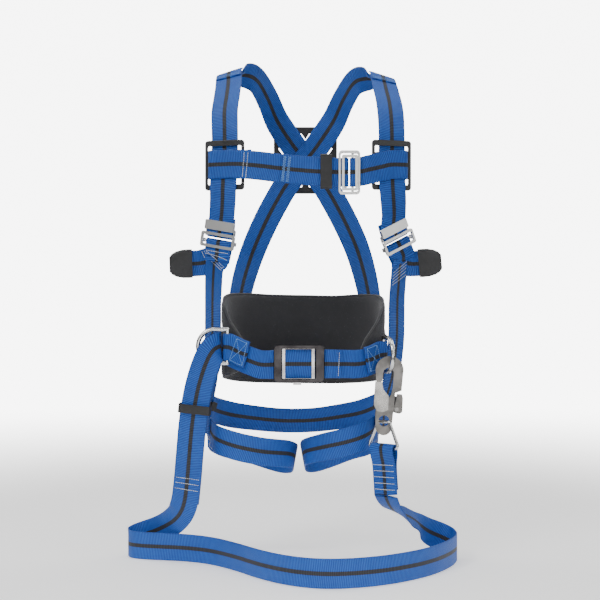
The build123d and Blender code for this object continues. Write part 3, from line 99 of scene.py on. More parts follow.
# Straps: rows of centre x, y, z (mm) and the direction of the webbing's width
ROWS = {
    "waist_belt_right": [
        (-140.18, 20.6, 25, -0.004, -0.07, 0.998), (-141.93, -7.6, 23, 0.003, -0.094, 0.996), (-138.43, -32.16, 20, 0.033, -0.14, 0.99),
        (-132.41, -47.76, 17, 0.083, -0.17, 0.982), (-124.69, -60.18, 14, 0.139, -0.186, 0.973), (-114.83, -71.26, 10, 0.186, -0.177, 0.966),
        (-102.93, -80.92, 6, 0.227, -0.157, 0.961), (-89.11, -89.1, 1, 0.259, -0.13, 0.957), (-73.45, -95.71, -4, 0.156, -0.056, 0.986),
        (-58.29, -100.15, -4.5, -0.014, 0.005, 1), (-42, -105.6, -3.5, -0.044, 0.007, 0.999), (-25, -105.6, -3, -0.016, 0, 1),
        (-10, -105.6, -3, 0, 0, 1), (10.4, -105.6, -3, 0, 0, 1), (12.15, -105.13, -3, 0, 0, 1), (13.43, -103.85, -3, 0, 0, 1),
        (13.9, -102.1, -3, 0, 0, 1), (13.43, -100.35, -3, 0, 0, 1), (12.15, -99.07, -3, 0, 0, 1), (10.4, -98.6, -3, 0, 0, 1),
        (-6, -98.6, -3, 0, 0, 1), (-22, -98.9, -3, -0.015, -0.001, 1), (-40, -101, -3.5, -0.029, -0.002, 1), (-56, -101.2, -4, -0.031, -0, 1),
    ],
    "waist_belt_left": [
        (132.18, 20.6, 20, 0.005, -0.097, 0.995), (133.84, -9.97, 17, -0.005, -0.127, 0.992), (129.9, -33.98, 13, -0.051, -0.189, 0.981),
        (122.69, -50.99, 8.5, -0.124, -0.233, 0.965), (114.42, -63.08, 4, -0.175, -0.215, 0.961), (104.04, -73.81, 0, -0.169, -0.149, 0.974),
        (91.65, -83.11, -3, -0.105, -0.068, 0.992), (77.36, -90.9, -4, -0.014, -0.007, 1), (63.37, -96.42, -3.5, 0.022, 0.008, 1),
        (38, -105.6, -3, 0.011, 0.002, 1), (21, -105.6, -3, 0, 0, 1), (19.25, -105.13, -3, 0, 0, 1), (17.97, -103.85, -3, 0, 0, 1),
        (17.5, -102.1, -3, 0, 0, 1), (17.97, -100.35, -3, 0, 0, 1), (19.25, -99.07, -3, 0, 0, 1), (21, -98.6, -3, 0, 0, 1), (30, -98.6, -3, 0, 0, 1),
        (44, -101.2, -3, 0.019, -0.002, 1), (56, -102, -3.5, 0.041, -0.003, 0.999),
    ],
    "waist_belt_back": [
        (-139.59, 23.49, 25, -0.033, -0.096, 0.995), (-133.22, 42.11, 27, -0.042, -0.082, 0.996), (-120.02, 61.89, 29, -0.039, -0.042, 0.998),
        (-97.97, 80.17, 30, -0.019, -0.01, 1), (-58.29, 96.15, 30.5, 0, 0, 1), (-4, 101.6, 30, 0.014, 0, 1), (50.29, 96.15, 29, 0.025, -0.006, 1),
        (89.97, 80.17, 27.5, 0.049, -0.027, 0.998), (112.02, 61.89, 25, 0.065, -0.07, 0.995), (125.22, 42.11, 22.5, 0.047, -0.093, 0.995),
        (131.59, 23.49, 20.5, 0.033, -0.096, 0.995),
    ],
    "shoulder_strap_right": [
        (-126, 34, 479, 0.948, -0.149, 0.282), (-128, 8, 472, 0.959, -0.125, 0.254), (-127.5, -12, 462, 0.968, -0.11, 0.224),
        (-127, -34, 447, 0.973, -0.147, 0.178), (-128, -60, 425, 0.972, -0.197, 0.131), (-130, -80, 400, 0.965, -0.23, 0.125),
        (-129, -94, 370, 0.949, -0.289, 0.129), (-128.5, -98.8, 347, 0.945, -0.325, 0.042), (-129.5, -103, 312, 0.944, -0.331, 0.006),
        (-131, -107.2, 277, 0.943, -0.332, -0.013), (-131.5, -106.5, 256, 0.931, -0.36, -0.068), (-133, -104, 233, 0.911, -0.39, -0.137),
        (-135.08, -101.04, 216.78, 0.899, -0.399, -0.181), (-136.45, -99.94, 206.94, 0.9, -0.4, -0.17), (-137.41, -99.17, 200.05, 0.9, -0.4, -0.17),
        (-137.46, -98.55, 198.34, 0.9, -0.4, -0.17), (-137.1, -97.24, 197.14, 0.9, -0.4, -0.17), (-136.45, -95.6, 196.76, 0.9, -0.4, -0.17),
        (-135.66, -94.06, 197.29, 0.9, -0.4, -0.17), (-134.96, -93.04, 198.61, 0.9, -0.4, -0.17), (-134.52, -92.8, 200.36, 0.9, -0.4, -0.17),
        (-133.29, -93.79, 209.22, 0.9, -0.4, -0.17), (-132.17, -95.44, 219.03, 0.9, -0.4, -0.17), (-131.58, -98.27, 228.79, 0.9, -0.4, -0.17),
    ],
    "shoulder_strap_left": [
        (127, 34, 473, -0.949, -0.132, 0.285), (128.5, 8, 466, -0.957, -0.153, 0.246), (130, -12, 456, -0.967, -0.181, 0.181),
        (131.5, -34, 440, -0.971, -0.192, 0.144), (134, -60, 419, -0.972, -0.202, 0.123), (135.5, -80, 396, -0.966, -0.231, 0.114),
        (136, -92.5, 370, -0.949, -0.299, 0.096), (136, -97.4, 347, -0.945, -0.323, 0.053), (136, -102, 312, -0.944, -0.327, 0.036),
        (136.5, -106.6, 277, -0.943, -0.332, -0.013), (138, -105.5, 256, -0.926, -0.365, -0.094), (139, -101.6, 233, -0.876, -0.48, -0.044),
        (137.71, -100.98, 212.69, -0.866, -0.487, -0.114), (141.13, -98.49, 203.62, -0.799, -0.43, -0.42),
        (143.53, -96.75, 197.28, -0.799, -0.43, -0.42), (143.89, -95.91, 195.72, -0.799, -0.43, -0.42),
        (143.7, -94.48, 194.63, -0.799, -0.43, -0.42), (143, -92.85, 194.29, -0.799, -0.43, -0.42), (141.97, -91.44, 194.81, -0.799, -0.43, -0.42),
        (140.9, -90.65, 196.03, -0.799, -0.43, -0.42), (140.07, -90.68, 197.64, -0.799, -0.43, -0.42), (136.99, -92.92, 205.8, -0.799, -0.43, -0.42),
        (133.87, -95.92, 214.83, -0.799, -0.43, -0.42), (131.38, -100.06, 223.79, -0.799, -0.43, -0.42),
    ],
    "side_strap_right": [
        (-142.04, -91.86, 158.34, 0.9, -0.4, -0.17), (-139.72, -90.86, 168.28, 0.9, -0.4, -0.17), (-137.33, -90.55, 180.18, 0.9, -0.4, -0.17),
        (-135.96, -91.65, 190.02, 0.9, -0.4, -0.17), (-135.92, -92.27, 191.72, 0.9, -0.4, -0.17), (-136.27, -93.57, 192.93, 0.9, -0.4, -0.17),
        (-136.93, -95.22, 193.31, 0.9, -0.4, -0.17), (-137.71, -96.76, 192.77, 0.9, -0.4, -0.17), (-138.42, -97.78, 191.45, 0.9, -0.4, -0.17),
        (-138.85, -98.02, 189.71, 0.9, -0.4, -0.17), (-140.5, -96.7, 177.9, 0.9, -0.4, -0.17), (-141.93, -94.92, 166.11, 0.877, -0.274, -0.395),
        (-145.5, -84, 158, 0.645, -0.523, -0.558), (-149, -63, 128, 0.635, -0.632, -0.444), (-151, -46, 96, 0.622, -0.738, -0.261),
        (-151.5, -40, 57, 0.624, -0.772, -0.12), (-152.5, -36, 24, 0.62, -0.771, -0.145), (-157, -29, -25, 0.586, -0.784, -0.203),
        (-163.5, -22, -62, 0.557, -0.796, -0.238), (-168.5, -17, -92, 0.546, -0.819, -0.179), (-170.5, -14, -120, 0.555, -0.822, -0.128),
    ],
    "side_strap_left": [
        (156.63, -83.67, 158.92, -0.799, -0.43, -0.42), (152.08, -84.16, 168.1, -0.799, -0.43, -0.42),
        (147.08, -85.58, 179.07, -0.799, -0.43, -0.42), (143.66, -88.07, 188.13, -0.799, -0.43, -0.42),
        (143.29, -88.91, 189.69, -0.799, -0.43, -0.42), (143.49, -90.34, 190.79, -0.799, -0.43, -0.42),
        (144.19, -91.98, 191.12, -0.799, -0.43, -0.42), (145.22, -93.38, 190.6, -0.799, -0.43, -0.42),
        (146.29, -94.17, 189.38, -0.799, -0.43, -0.42), (147.12, -94.14, 187.77, -0.799, -0.43, -0.42),
        (151.22, -91.16, 176.89, -0.799, -0.43, -0.42), (155.08, -87.74, 166.04, -0.808, -0.542, -0.231), (150, -80, 155, -0.615, -0.692, -0.378),
        (149, -61, 127, -0.627, -0.684, -0.373), (148, -46, 96, -0.624, -0.751, -0.216), (148, -40, 57, -0.626, -0.775, -0.088),
        (147, -37, 24, -0.629, -0.777, -0.022), (141, -32, -25, -0.627, -0.778, 0.029), (132, -28, -60, -0.597, -0.801, 0.052),
        (127.5, -26, -88, -0.583, -0.813, 0.014), (126.5, -25, -114, -0.583, -0.813, -0.009),
    ],
    "strap_tail_right": [
        (-136, -76, 172, 0.044, 0.415, 0.909), (-146, -64, 167, -0.105, 0.322, 0.941), (-158, -51, 161, -0.315, 0.021, 0.949),
        (-172, -47.5, 158, -0.128, -0.304, 0.944), (-190, -50, 157, -0.01, -0.31, 0.951),
    ],
    "strap_tail_left": [
        (138, -74, 170, 0.022, 0.433, 0.901), (148, -62, 164, 0.151, 0.279, 0.948), (161, -49, 159, 0.292, -0.076, 0.953),
        (175, -46, 157, 0.033, -0.358, 0.933), (189, -49, 158, -0.14, -0.345, 0.928),
    ],
    "chest_strap_right": [
        (-86.49, -119.5, 312, 0, 0, 1), (-90.57, -115.86, 312, 0, 0, 1), (-93.8, -111.24, 312, 0, 0, 1), (-99.33, -107.23, 312, 0, 0, 1),
        (-110.59, -103.05, 312, 0, 0, 1), (-135.38, -95.2, 312, 0, 0, 1), (-146.98, -91.43, 312, 0, 0, 1), (-149.88, -91.28, 312, 0, 0, 1),
        (-152.46, -92.6, 312, 0, 0, 1), (-154.04, -95.03, 312, 0, 0, 1), (-154.19, -97.92, 312, 0, 0, 1), (-152.87, -100.5, 312, 0, 0, 1),
        (-150.44, -102.08, 312, 0, 0, 1), (-138.84, -105.85, 312, 0, 0, 1), (-118.22, -113.6, 312, 0.023, -0.007, 1),
        (-98.89, -118.83, 311, 0.081, -0.013, 0.997), (-70, -121.2, 308, 0.112, -0.007, 0.994), (-46, -122, 305, 0.109, -0.002, 0.994),
        (-29, -121.9, 303.5, 0.088, 0.001, 0.996),
    ],
    "chest_strap_middle": [
        (-39, -124.7, 304, 0.105, -0.001, 0.995), (-20, -124.9, 302, 0.091, -0.001, 0.996), (10, -125, 299.5, 0.063, -0, 0.998),
        (40, -125, 298.2, 0.036, 0, 0.999), (52, -125, 298, 0.009, 0, 1), (62, -125, 298, 0, 0, 1), (63.75, -124.53, 298, 0, 0, 1),
        (65.03, -123.25, 298, 0, 0, 1), (65.5, -121.5, 298, 0, 0, 1), (65.03, -119.75, 298, 0, 0, 1), (63.75, -118.47, 298, 0, 0, 1),
        (62, -118, 298, 0, 0, 1), (52, -118, 298, 0.011, 0.001, 1), (36, -120.5, 298.3, 0.028, 0.004, 1), (24, -121.9, 298.8, 0.053, 0.003, 0.999),
        (4, -122.1, 300, 0.06, 0.001, 0.998),
    ],
    "chest_strap_left": [
        (104, -117.4, 304, -0.237, -0.036, 0.971), (96, -118.6, 302, -0.242, -0.008, 0.97), (86, -118, 299.5, -0.17, 0.004, 0.985),
        (72.8, -118, 298, -0.113, 0, 0.994), (71.05, -118.47, 298, 0, 0, 1), (69.77, -119.75, 298, 0, 0, 1), (69.3, -121.5, 298, 0, 0, 1),
        (69.77, -123.25, 298, 0, 0, 1), (71.05, -124.53, 298, 0, 0, 1), (72.8, -125, 298, 0, 0, 1), (86, -124.9, 299, -0.162, -0.013, 0.987),
        (100, -122.8, 302.5, -0.229, -0.066, 0.971), (117.36, -115.84, 307, -0.222, -0.085, 0.971), (132.39, -110.32, 311, -0.136, -0.052, 0.989),
        (149.14, -103.62, 312, -0.036, -0.013, 0.999), (156.94, -101.08, 312, 0, 0, 1), (159.37, -99.5, 312, 0, 0, 1),
        (160.69, -96.92, 312, 0, 0, 1), (160.54, -94.03, 312, 0, 0, 1), (158.96, -91.6, 312, 0, 0, 1), (156.38, -90.28, 312, 0, 0, 1),
        (153.48, -90.43, 312, 0, 0, 1), (141.88, -94.2, 312, -0.03, -0.01, 1), (122.83, -100.29, 311, -0.083, -0.028, 0.996),
        (109.67, -105.09, 309, -0.133, -0.048, 0.99),
    ],
    "d_ring_loop_right": [
        (-93.46, -91.49, 11, 0.235, -0.128, 0.964), (-102.63, -86.48, 13.9, 0.274, -0.166, 0.947), (-111.08, -80.82, 17.96, 0.295, -0.226, 0.928),
        (-118.53, -74.33, 21.9, 0.139, -0.18, 0.974), (-123.2, -65.1, 22.6, 0.03, -0.06, 0.998), (-125.14, -64.17, 22.6, 0, 0, 1),
        (-127.28, -64.06, 22.6, 0, 0, 1), (-129.3, -64.77, 22.6, 0, 0, 1), (-130.9, -66.2, 22.6, 0, 0, 1), (-131.83, -68.14, 22.6, 0, 0, 1),
        (-131.94, -70.28, 22.6, 0, 0, 1), (-131.23, -72.3, 22.6, 0, 0, 1), (-129.8, -73.9, 22.6, 0, 0, 1),
        (-122.06, -77.27, 21.9, 0.211, -0.107, 0.972), (-112.81, -82.5, 17.96, 0.307, -0.179, 0.935), (-103.88, -87.89, 13.9, 0.272, -0.157, 0.949),
        (-94.59, -92.99, 11, 0.231, -0.127, 0.965),
    ],
    "d_ring_loop_left": [
        (95.64, -84.58, 1.5, -0.171, -0.127, 0.977), (103.64, -78.64, 3.67, -0.198, -0.162, 0.967), (110.86, -72.11, 6.72, -0.21, -0.211, 0.955),
        (117.26, -65.02, 9.68, -0.112, -0.146, 0.983), (122.2, -57.4, 10.2, -0.031, -0.048, 0.998), (124.14, -56.47, 10.2, 0, 0, 1),
        (126.28, -56.36, 10.2, 0, 0, 1), (128.3, -57.07, 10.2, 0, 0, 1), (129.9, -58.5, 10.2, 0, 0, 1), (130.83, -60.44, 10.2, 0, 0, 1),
        (130.94, -62.58, 10.2, 0, 0, 1), (130.23, -64.6, 10.2, 0, 0, 1), (128.8, -66.2, 10.2, 0, 0, 1), (122.15, -68.38, 9.68, -0.174, -0.096, 0.98),
        (113.79, -74.47, 6.72, -0.225, -0.169, 0.96), (105.78, -80.64, 3.67, -0.2, -0.147, 0.969), (97.4, -86.51, 1.5, -0.17, -0.119, 0.978),
    ],
    "back_strap_right": [
        (-126.5, 14, 469.5, 0.916, -0.322, 0.241), (-120, 37, 475.5, 0.799, -0.527, 0.289), (-104, 55, 482, 0.409, -0.388, 0.826),
        (-84, 76, 476, 0.504, 0.208, 0.838), (-66, 100, 448, 0.695, 0.331, 0.638), (-52, 122.5, 417, 0.797, 0.245, 0.551),
        (-40, 129, 397.5, 0.834, 0.051, 0.55), (-29, 130.6, 381.4, 0.821, -0.001, 0.571), (-16, 130.6, 363, 0.798, 0, 0.603),
        (0, 130.6, 343, 0.756, 0, 0.654), (16, 130.6, 326, 0.774, 0, 0.634), (29, 130.6, 307.6, 0.829, -0, 0.559), (43, 131.5, 286, 0.866, -0, 0.5),
        (68, 130, 240, 0.886, -0.126, 0.447), (90, 121, 190, 0.874, -0.289, 0.39), (104, 104, 140, 0.825, -0.453, 0.339),
        (112, 90, 95, 0.759, -0.596, 0.26), (116, 80, 50, 0.722, -0.669, 0.177), (118, 74, 10, 0.722, -0.678, 0.138),
    ],
    "back_strap_left": [
        (127.5, 14, 463.3, -0.904, -0.358, 0.233), (120, 37, 469.5, -0.79, -0.542, 0.288), (104, 55, 476, -0.406, -0.426, 0.808),
        (84, 76, 472, -0.482, 0.166, 0.86), (66, 100, 446, -0.685, 0.316, 0.657), (52, 121, 417, -0.793, 0.246, 0.557),
        (40, 126, 397.5, -0.835, 0.051, 0.548), (29, 127.2, 381.4, -0.821, -0, 0.571), (16, 127.2, 363, -0.798, 0, 0.603),
        (0, 127.2, 343, -0.756, 0, 0.654), (-16, 127.2, 326, -0.774, 0, 0.634), (-29, 127.2, 307.6, -0.829, -0, 0.559),
        (-43, 128.5, 286, -0.866, 0.001, 0.5), (-68, 130, 240, -0.889, -0.123, 0.441), (-90, 124, 190, -0.871, -0.286, 0.4),
        (-106, 106, 140, -0.817, -0.443, 0.369), (-115, 91, 95, -0.754, -0.587, 0.295), (-121, 80, 50, -0.719, -0.663, 0.209),
        (-124, 74, 10, -0.719, -0.677, 0.156),
    ],
    "leg_strap_right": [
        (-167.5, 4, -108, -0.146, -0.451, 0.881), (-162, -9.5, -114, -0.067, -0.344, 0.937), (-154.5, -28.5, -119, -0.006, -0.307, 0.952),
        (-147, -47, -126, 0.19, -0.297, 0.936), (-130, -57, -133, 0.282, -0.101, 0.954), (-105, -62, -140, 0.234, 0.051, 0.971),
        (-72, -57, -147, 0.132, 0.163, 0.978), (-46, -44, -151, -0.009, 0.248, 0.969), (-27, -24, -155, -0.045, 0.278, 0.96),
        (-18, 2, -163, 0.137, 0.286, 0.948), (-22, 30, -172, 0.225, 0.285, 0.932), (-42, 57, -174, 0.195, 0.127, 0.973),
        (-72, 76, -168, 0.234, -0.034, 0.972), (-105, 80, -158, 0.284, -0.006, 0.959), (-133, 66, -150, 0.313, 0.099, 0.945),
        (-154, 44, -138, 0.205, 0.323, 0.924), (-164.5, 23, -128, -0.063, 0.455, 0.888),
    ],
    "leg_strap_left": [
        (123.5, -3, -105, 0.32, -0.223, 0.921), (121, -19, -108, 0.097, -0.275, 0.956), (111.5, -35, -113, -0.055, -0.294, 0.954),
        (101, -51, -119, -0.195, -0.255, 0.947), (86, -60, -125, -0.294, -0.083, 0.952), (62, -62, -132, -0.255, 0.073, 0.964),
        (38, -56, -138, -0.176, 0.2, 0.964), (18, -43, -144, -0.051, 0.302, 0.952), (3, -24, -150, 0.013, 0.303, 0.953),
        (-4, 2, -158, -0.14, 0.333, 0.933), (-2, 30, -170, -0.197, 0.324, 0.925), (16, 57, -173, -0.187, 0.123, 0.975),
        (44, 76, -167, -0.262, -0.052, 0.964), (74, 80, -156, -0.34, 0.009, 0.94), (99, 66, -147, -0.335, 0.171, 0.927),
        (115.5, 42, -134, -0.144, 0.408, 0.902), (122.5, 19, -122, 0.144, 0.492, 0.859),
    ],
    "seat_strap": [
        (-162, 8, -82, -0.1, 0.047, 0.994), (-161.5, 30, -83, -0.024, 0.168, 0.985), (-153.5, 62, -91, 0.143, 0.207, 0.968),
        (-128, 91, -101, 0.228, 0.052, 0.972), (-92, 110, -108, 0.197, -0.134, 0.971), (-50, 119, -113, 0.108, -0.236, 0.966),
        (-14, 121, -114, -0.013, -0.25, 0.968), (22, 119, -112, -0.139, -0.231, 0.963), (60, 110, -106, -0.233, -0.116, 0.966),
        (94, 91, -98, -0.259, 0.087, 0.962), (118, 62, -86, -0.139, 0.25, 0.958), (122, 30, -78, 0.049, 0.187, 0.981),
        (118.5, 4, -75, 0.107, 0.1, 0.989),
    ],
    "lanyard_hook_end": [
        (128.38, -89.38, -203.77, 0.767, -0.637, 0.078), (127.54, -88.68, -189.81, 0.767, -0.637, 0.078),
        (126.59, -87.63, -171.87, 0.769, -0.634, 0.078), (126.71, -86.03, -159.94, 0.776, -0.626, 0.076),
        (128.03, -82.97, -148.05, 0.775, -0.628, 0.076), (127.69, -82.17, -138.09, 0.769, -0.635, 0.078),
        (127.41, -82.51, -135.55, 0.769, -0.639, -0), (126.52, -83.57, -133.38, 0.769, -0.639, 0), (125.18, -85.19, -131.9, 0.769, -0.639, 0),
        (123.57, -87.13, -131.34, 0.769, -0.639, 0), (121.95, -89.08, -131.78, 0.769, -0.639, -0), (120.56, -90.75, -133.16, 0.769, -0.639, 0),
        (119.61, -91.89, -135.27, 0.769, -0.639, 0), (119.26, -92.32, -137.78, 0.769, -0.639, 0), (120.11, -92.51, -147.76, 0.759, -0.647, 0.076),
        (122.87, -90.64, -159.8, 0.758, -0.648, 0.075), (124.42, -90.24, -171.79, 0.764, -0.64, 0.078),
        (125.63, -90.99, -189.74, 0.766, -0.638, 0.078), (126.82, -91.98, -209.68, 0.767, -0.637, 0.078),
    ],
    "lanyard_ring_end": [
        (-139, -63.5, 23.8, -0.225, 0.064, 0.972), (-145, -61.8, 22.3, -0.64, 0.079, 0.764), (-153, -60.8, 11.8, -0.901, 0.005, 0.434),
        (-162, -61.5, -13, -0.951, 0.027, 0.308), (-172.5, -66.5, -48, -0.971, 0.102, 0.215), (-180.5, -71, -92, -0.985, 0.101, 0.139),
        (-185.9, -67.9, -142, -0.982, 0.149, 0.117), (-190, -60.8, -185, -0.981, 0.149, 0.128), (-193, -54.5, -212, -0.978, 0.142, 0.151),
        (-195.2, -48.8, -230, -0.973, 0.156, 0.168),
    ],
    "shoulder_hem_right": [
        (-128.2, -9, 466.5, 0.964, -0.145, 0.221), (-128, 6, 475.5, 0.961, -0.155, 0.231), (-127, 20, 481, 0.952, -0.141, 0.273),
        (-126, 33, 482.5, 0.943, -0.109, 0.316),
    ],
    "shoulder_hem_left": [
        (129.6, -9, 460.5, -0.963, -0.179, 0.202), (128.7, 6, 469.5, -0.96, -0.166, 0.226), (128, 20, 475, -0.953, -0.131, 0.275),
        (127, 33, 476.5, -0.943, -0.109, 0.316),
    ],
}

# ------------------------------------------------------------------ free lanyard: control points of one smooth line
LZ = -307.0
ROUTE = [(-137.5, -68, 23.8, 0, 0, 1), (-144.5, -74.5, 22.3, -.15, 0, .98), (-153.5, -79.5, 11.8, -.5, 0, .87), (-164, -80.5, -13, -.80, .05, .55),
         (-174, -79.5, -48, -.97, .1, .2), (-181.5, -76, -92, -.99, .1, .1), (-186.5, -71, -142, -.98, .15, .1), (-191, -63, -192, -.98, .15, .12),
         (-197, -51, -236, -.93, .1, .25), (-212, -30, -262, -.6, .2, .7), (-243, 6, -284, -.2, .2, .95), (-273, 26, -297, 0, .1, 1),
         (-296, 19, LZ + 2, 0, 0, 1), (-295, 0, LZ, 0, 0, 1), (-278, -15, LZ, 0, 0, 1), (-242, -25, LZ, 0, 0, 1), (-200, -33, LZ, 0, 0, 1),
         (-155, -56, LZ, 0, 0, 1), (-112, -105, LZ, 0, 0, 1), (-70, -168, LZ, 0, 0, 1), (-24, -214, LZ, 0, 0, 1), (26, -236, LZ, 0, 0, 1),
         (82, -226, LZ, 0, 0, 1), (138, -196, LZ, 0, 0, 1), (192, -146, LZ, 0, 0, 1), (230, -84, LZ, 0, 0, 1), (249, -30, LZ, 0, 0, 1),
         (247, 0, LZ + 2, 0, 0, 1), (226, 10, LZ + 10, 0, 0, 1), (197, -8, LZ + 24, -.25, 0, .97), (172, -42, LZ + 52, -.65, -.2, .7),
         (136.1, -79.2, -240.7, -.74, .55, .2), (127.1, -92.2, -213.7, -.77, .64, 0)]


# ------------------------------------------------------------------ node helpers
def new_mat(name):
    m = bpy.data.materials.new(name)
    m.use_nodes = True
    nt = m.node_tree
    b = nt.nodes["Principled BSDF"]
    return m, nt, b


def nd(nt, kind, **kw):
    n = nt.nodes.new(kind)
    for k, v in kw.items():
        setattr(n, k, v)
    return n


def link(nt, a, b):
    nt.links.new(a, b)


def math_node(nt, op, a, b=None, clamp=False):
    n = nd(nt, "ShaderNodeMath", operation=op)
    n.use_clamp = clamp
    for i, v in enumerate((a, b)):
        if v is None:
            continue
        if isinstance(v, (int, float)):
            n.inputs[i].default_value = v
        else:
            link(nt, v, n.inputs[i])
    return n.outputs[0]


def mix_rgb(nt, fac, a, b, mode="MIX"):
    n = nd(nt, "ShaderNodeMix", data_type="RGBA", blend_type=mode)
    for idx, v in ((0, fac), (6, a), (7, b)):
        if isinstance(v, (int, float)):
            n.inputs[idx].default_value = v
        elif isinstance(v, tuple):
            n.inputs[idx].default_value = (*v, 1.0) if len(v) == 3 else v
        else:
            link(nt, v, n.inputs[idx])
    return n.outputs[2]


def smooth_band(nt, x, lo, hi):
    n = nd(nt, "ShaderNodeMapRange", interpolation_type="SMOOTHSTEP")
    link(nt, x, n.inputs[0])
    n.inputs[1].default_value = lo
    n.inputs[2].default_value = hi
    return n.outputs[0]


def noise_tex(nt, vec, scale, detail=3.0, rough=0.55):
    n = nd(nt, "ShaderNodeTexNoise")
    n.inputs["Scale"].default_value = scale
    n.inputs["Detail"].default_value = detail
    n.inputs["Roughness"].default_value = rough
    if vec is not None:
        link(nt, vec, n.inputs["Vector"])
    return n.outputs["Fac"]


def obj_vec(nt):
    return nd(nt, "ShaderNodeTexCoord").outputs["Object"]


# ------------------------------------------------------------------ woven webbing
def webbing(name, base, deep, light, stripe=True, stripe_col=(0.006, 0.006, 0.008), stripe_half=3.4, rib=2.7):
    """UV is in metres: u across the webbing from its middle, v along it."""
    m, nt, b = new_mat(name)
    uv = nd(nt, "ShaderNodeUVMap", uv_map="UVMap")
    sep = nd(nt, "ShaderNodeSeparateXYZ")
    link(nt, uv.outputs[0], sep.inputs[0])
    u, v = sep.outputs[0], sep.outputs[1]
    ov = obj_vec(nt)
    wob = noise_tex(nt, ov, 60.0, 2.0)
    wob_c = math_node(nt, "SUBTRACT", wob, 0.5)
    # ribs lean a little over the width, in a shallow chevron from the middle
    au = math_node(nt, "ABSOLUTE", u)
    lean = math_node(nt, "MULTIPLY", au, 0.10)
    vv = math_node(nt, "ADD", v, lean)
    vv = math_node(nt, "ADD", vv, math_node(nt, "MULTIPLY", wob_c, 0.0007))
    ribs = math_node(nt, "SINE", math_node(nt, "MULTIPLY", vv, 2 * pi / (rib / 1000)))
    rib01 = math_node(nt, "MULTIPLY_ADD", ribs, 0.5)
    rib01.node.inputs[2].default_value = 0.5
    # warp yarns
    yarn = math_node(nt, "SINE", math_node(nt, "MULTIPLY", u, 2 * pi / 0.0011))
    yarn01 = math_node(nt, "MULTIPLY_ADD", yarn, 0.5)
    yarn01.node.inputs[2].default_value = 0.5
    weave = math_node(nt, "MULTIPLY", rib01, math_node(nt, "ADD", math_node(nt, "MULTIPLY", yarn01, 0.35), 0.65))
    fuzz = noise_tex(nt, ov, 1700.0, 3.0, 0.7)
    broad = noise_tex(nt, ov, 22.0, 3.0, 0.6)
    soil = noise_tex(nt, ov, 7.0, 4.0, 0.6)
    col = mix_rgb(nt, weave, deep, base)
    lit = smooth_band(nt, weave, 0.72, 1.0)
    col = mix_rgb(nt, math_node(nt, "MULTIPLY", lit, 0.42), col, light)
    col = mix_rgb(nt, math_node(nt, "MULTIPLY", smooth_band(nt, broad, 0.35, 0.75), 0.22), col, deep)
    if stripe:
        edge = math_node(nt, "ADD", au, math_node(nt, "MULTIPLY", math_node(nt, "SUBTRACT", fuzz, 0.5), 0.0009))
        edge = math_node(nt, "ADD", edge, math_node(nt, "MULTIPLY", ribs, 0.00018))
        mask = smooth_band(nt, edge, stripe_half / 1000 + 0.0003, stripe_half / 1000 - 0.0003)
        n_mask = mask.node
        n_mask.inputs[1].default_value = stripe_half / 1000 - 0.0003
        n_mask.inputs[2].default_value = stripe_half / 1000 + 0.0003
        n_mask.inputs[3].default_value = 1.0
        n_mask.inputs[4].default_value = 0.0
        black = mix_rgb(nt, math_node(nt, "MULTIPLY", weave, 0.7), stripe_col, tuple(c * 5 + 0.012 for c in stripe_col))
        col = mix_rgb(nt, mask, col, black)
    # selvedge: a little darker outside the last yarns, with light fibres worn up on it
    sel = smooth_band(nt, au, 0.0203, 0.0222)
    col = mix_rgb(nt, math_node(nt, "MULTIPLY", sel, 0.45), col, deep)
    wear = math_node(nt, "MULTIPLY", sel, smooth_band(nt, noise_tex(nt, ov, 240.0, 3.0, 0.7), 0.52, 0.72))
    col = mix_rgb(nt, math_node(nt, "MULTIPLY", wear, 0.35), col, light)
    col = mix_rgb(nt, math_node(nt, "MULTIPLY", smooth_band(nt, soil, 0.55, 0.85), 0.12), col, (0.10, 0.10, 0.11))
    link(nt, col, b.inputs["Base Color"])
    rough = nd(nt, "ShaderNodeMapRange")
    link(nt, weave, rough.inputs[0])
    rough.inputs[3].default_value = 0.66
    rough.inputs[4].default_value = 0.44
    link(nt, rough.outputs[0], b.inputs["Roughness"])
    b.inputs["Sheen Weight"].default_value = 0.05
    b.inputs["Sheen Roughness"].default_value = 0.4
    b.inputs["Specular IOR Level"].default_value = 0.42
    h = math_node(nt, "ADD", weave, math_node(nt, "MULTIPLY", fuzz, 0.22))
    bump = nd(nt, "ShaderNodeBump")
    bump.inputs["Strength"].default_value = 0.85
    bump.inputs["Distance"].default_value = 0.00042
    link(nt, h, bump.inputs["Height"])
    link(nt, bump.outputs[0], b.inputs["Normal"])
    return m


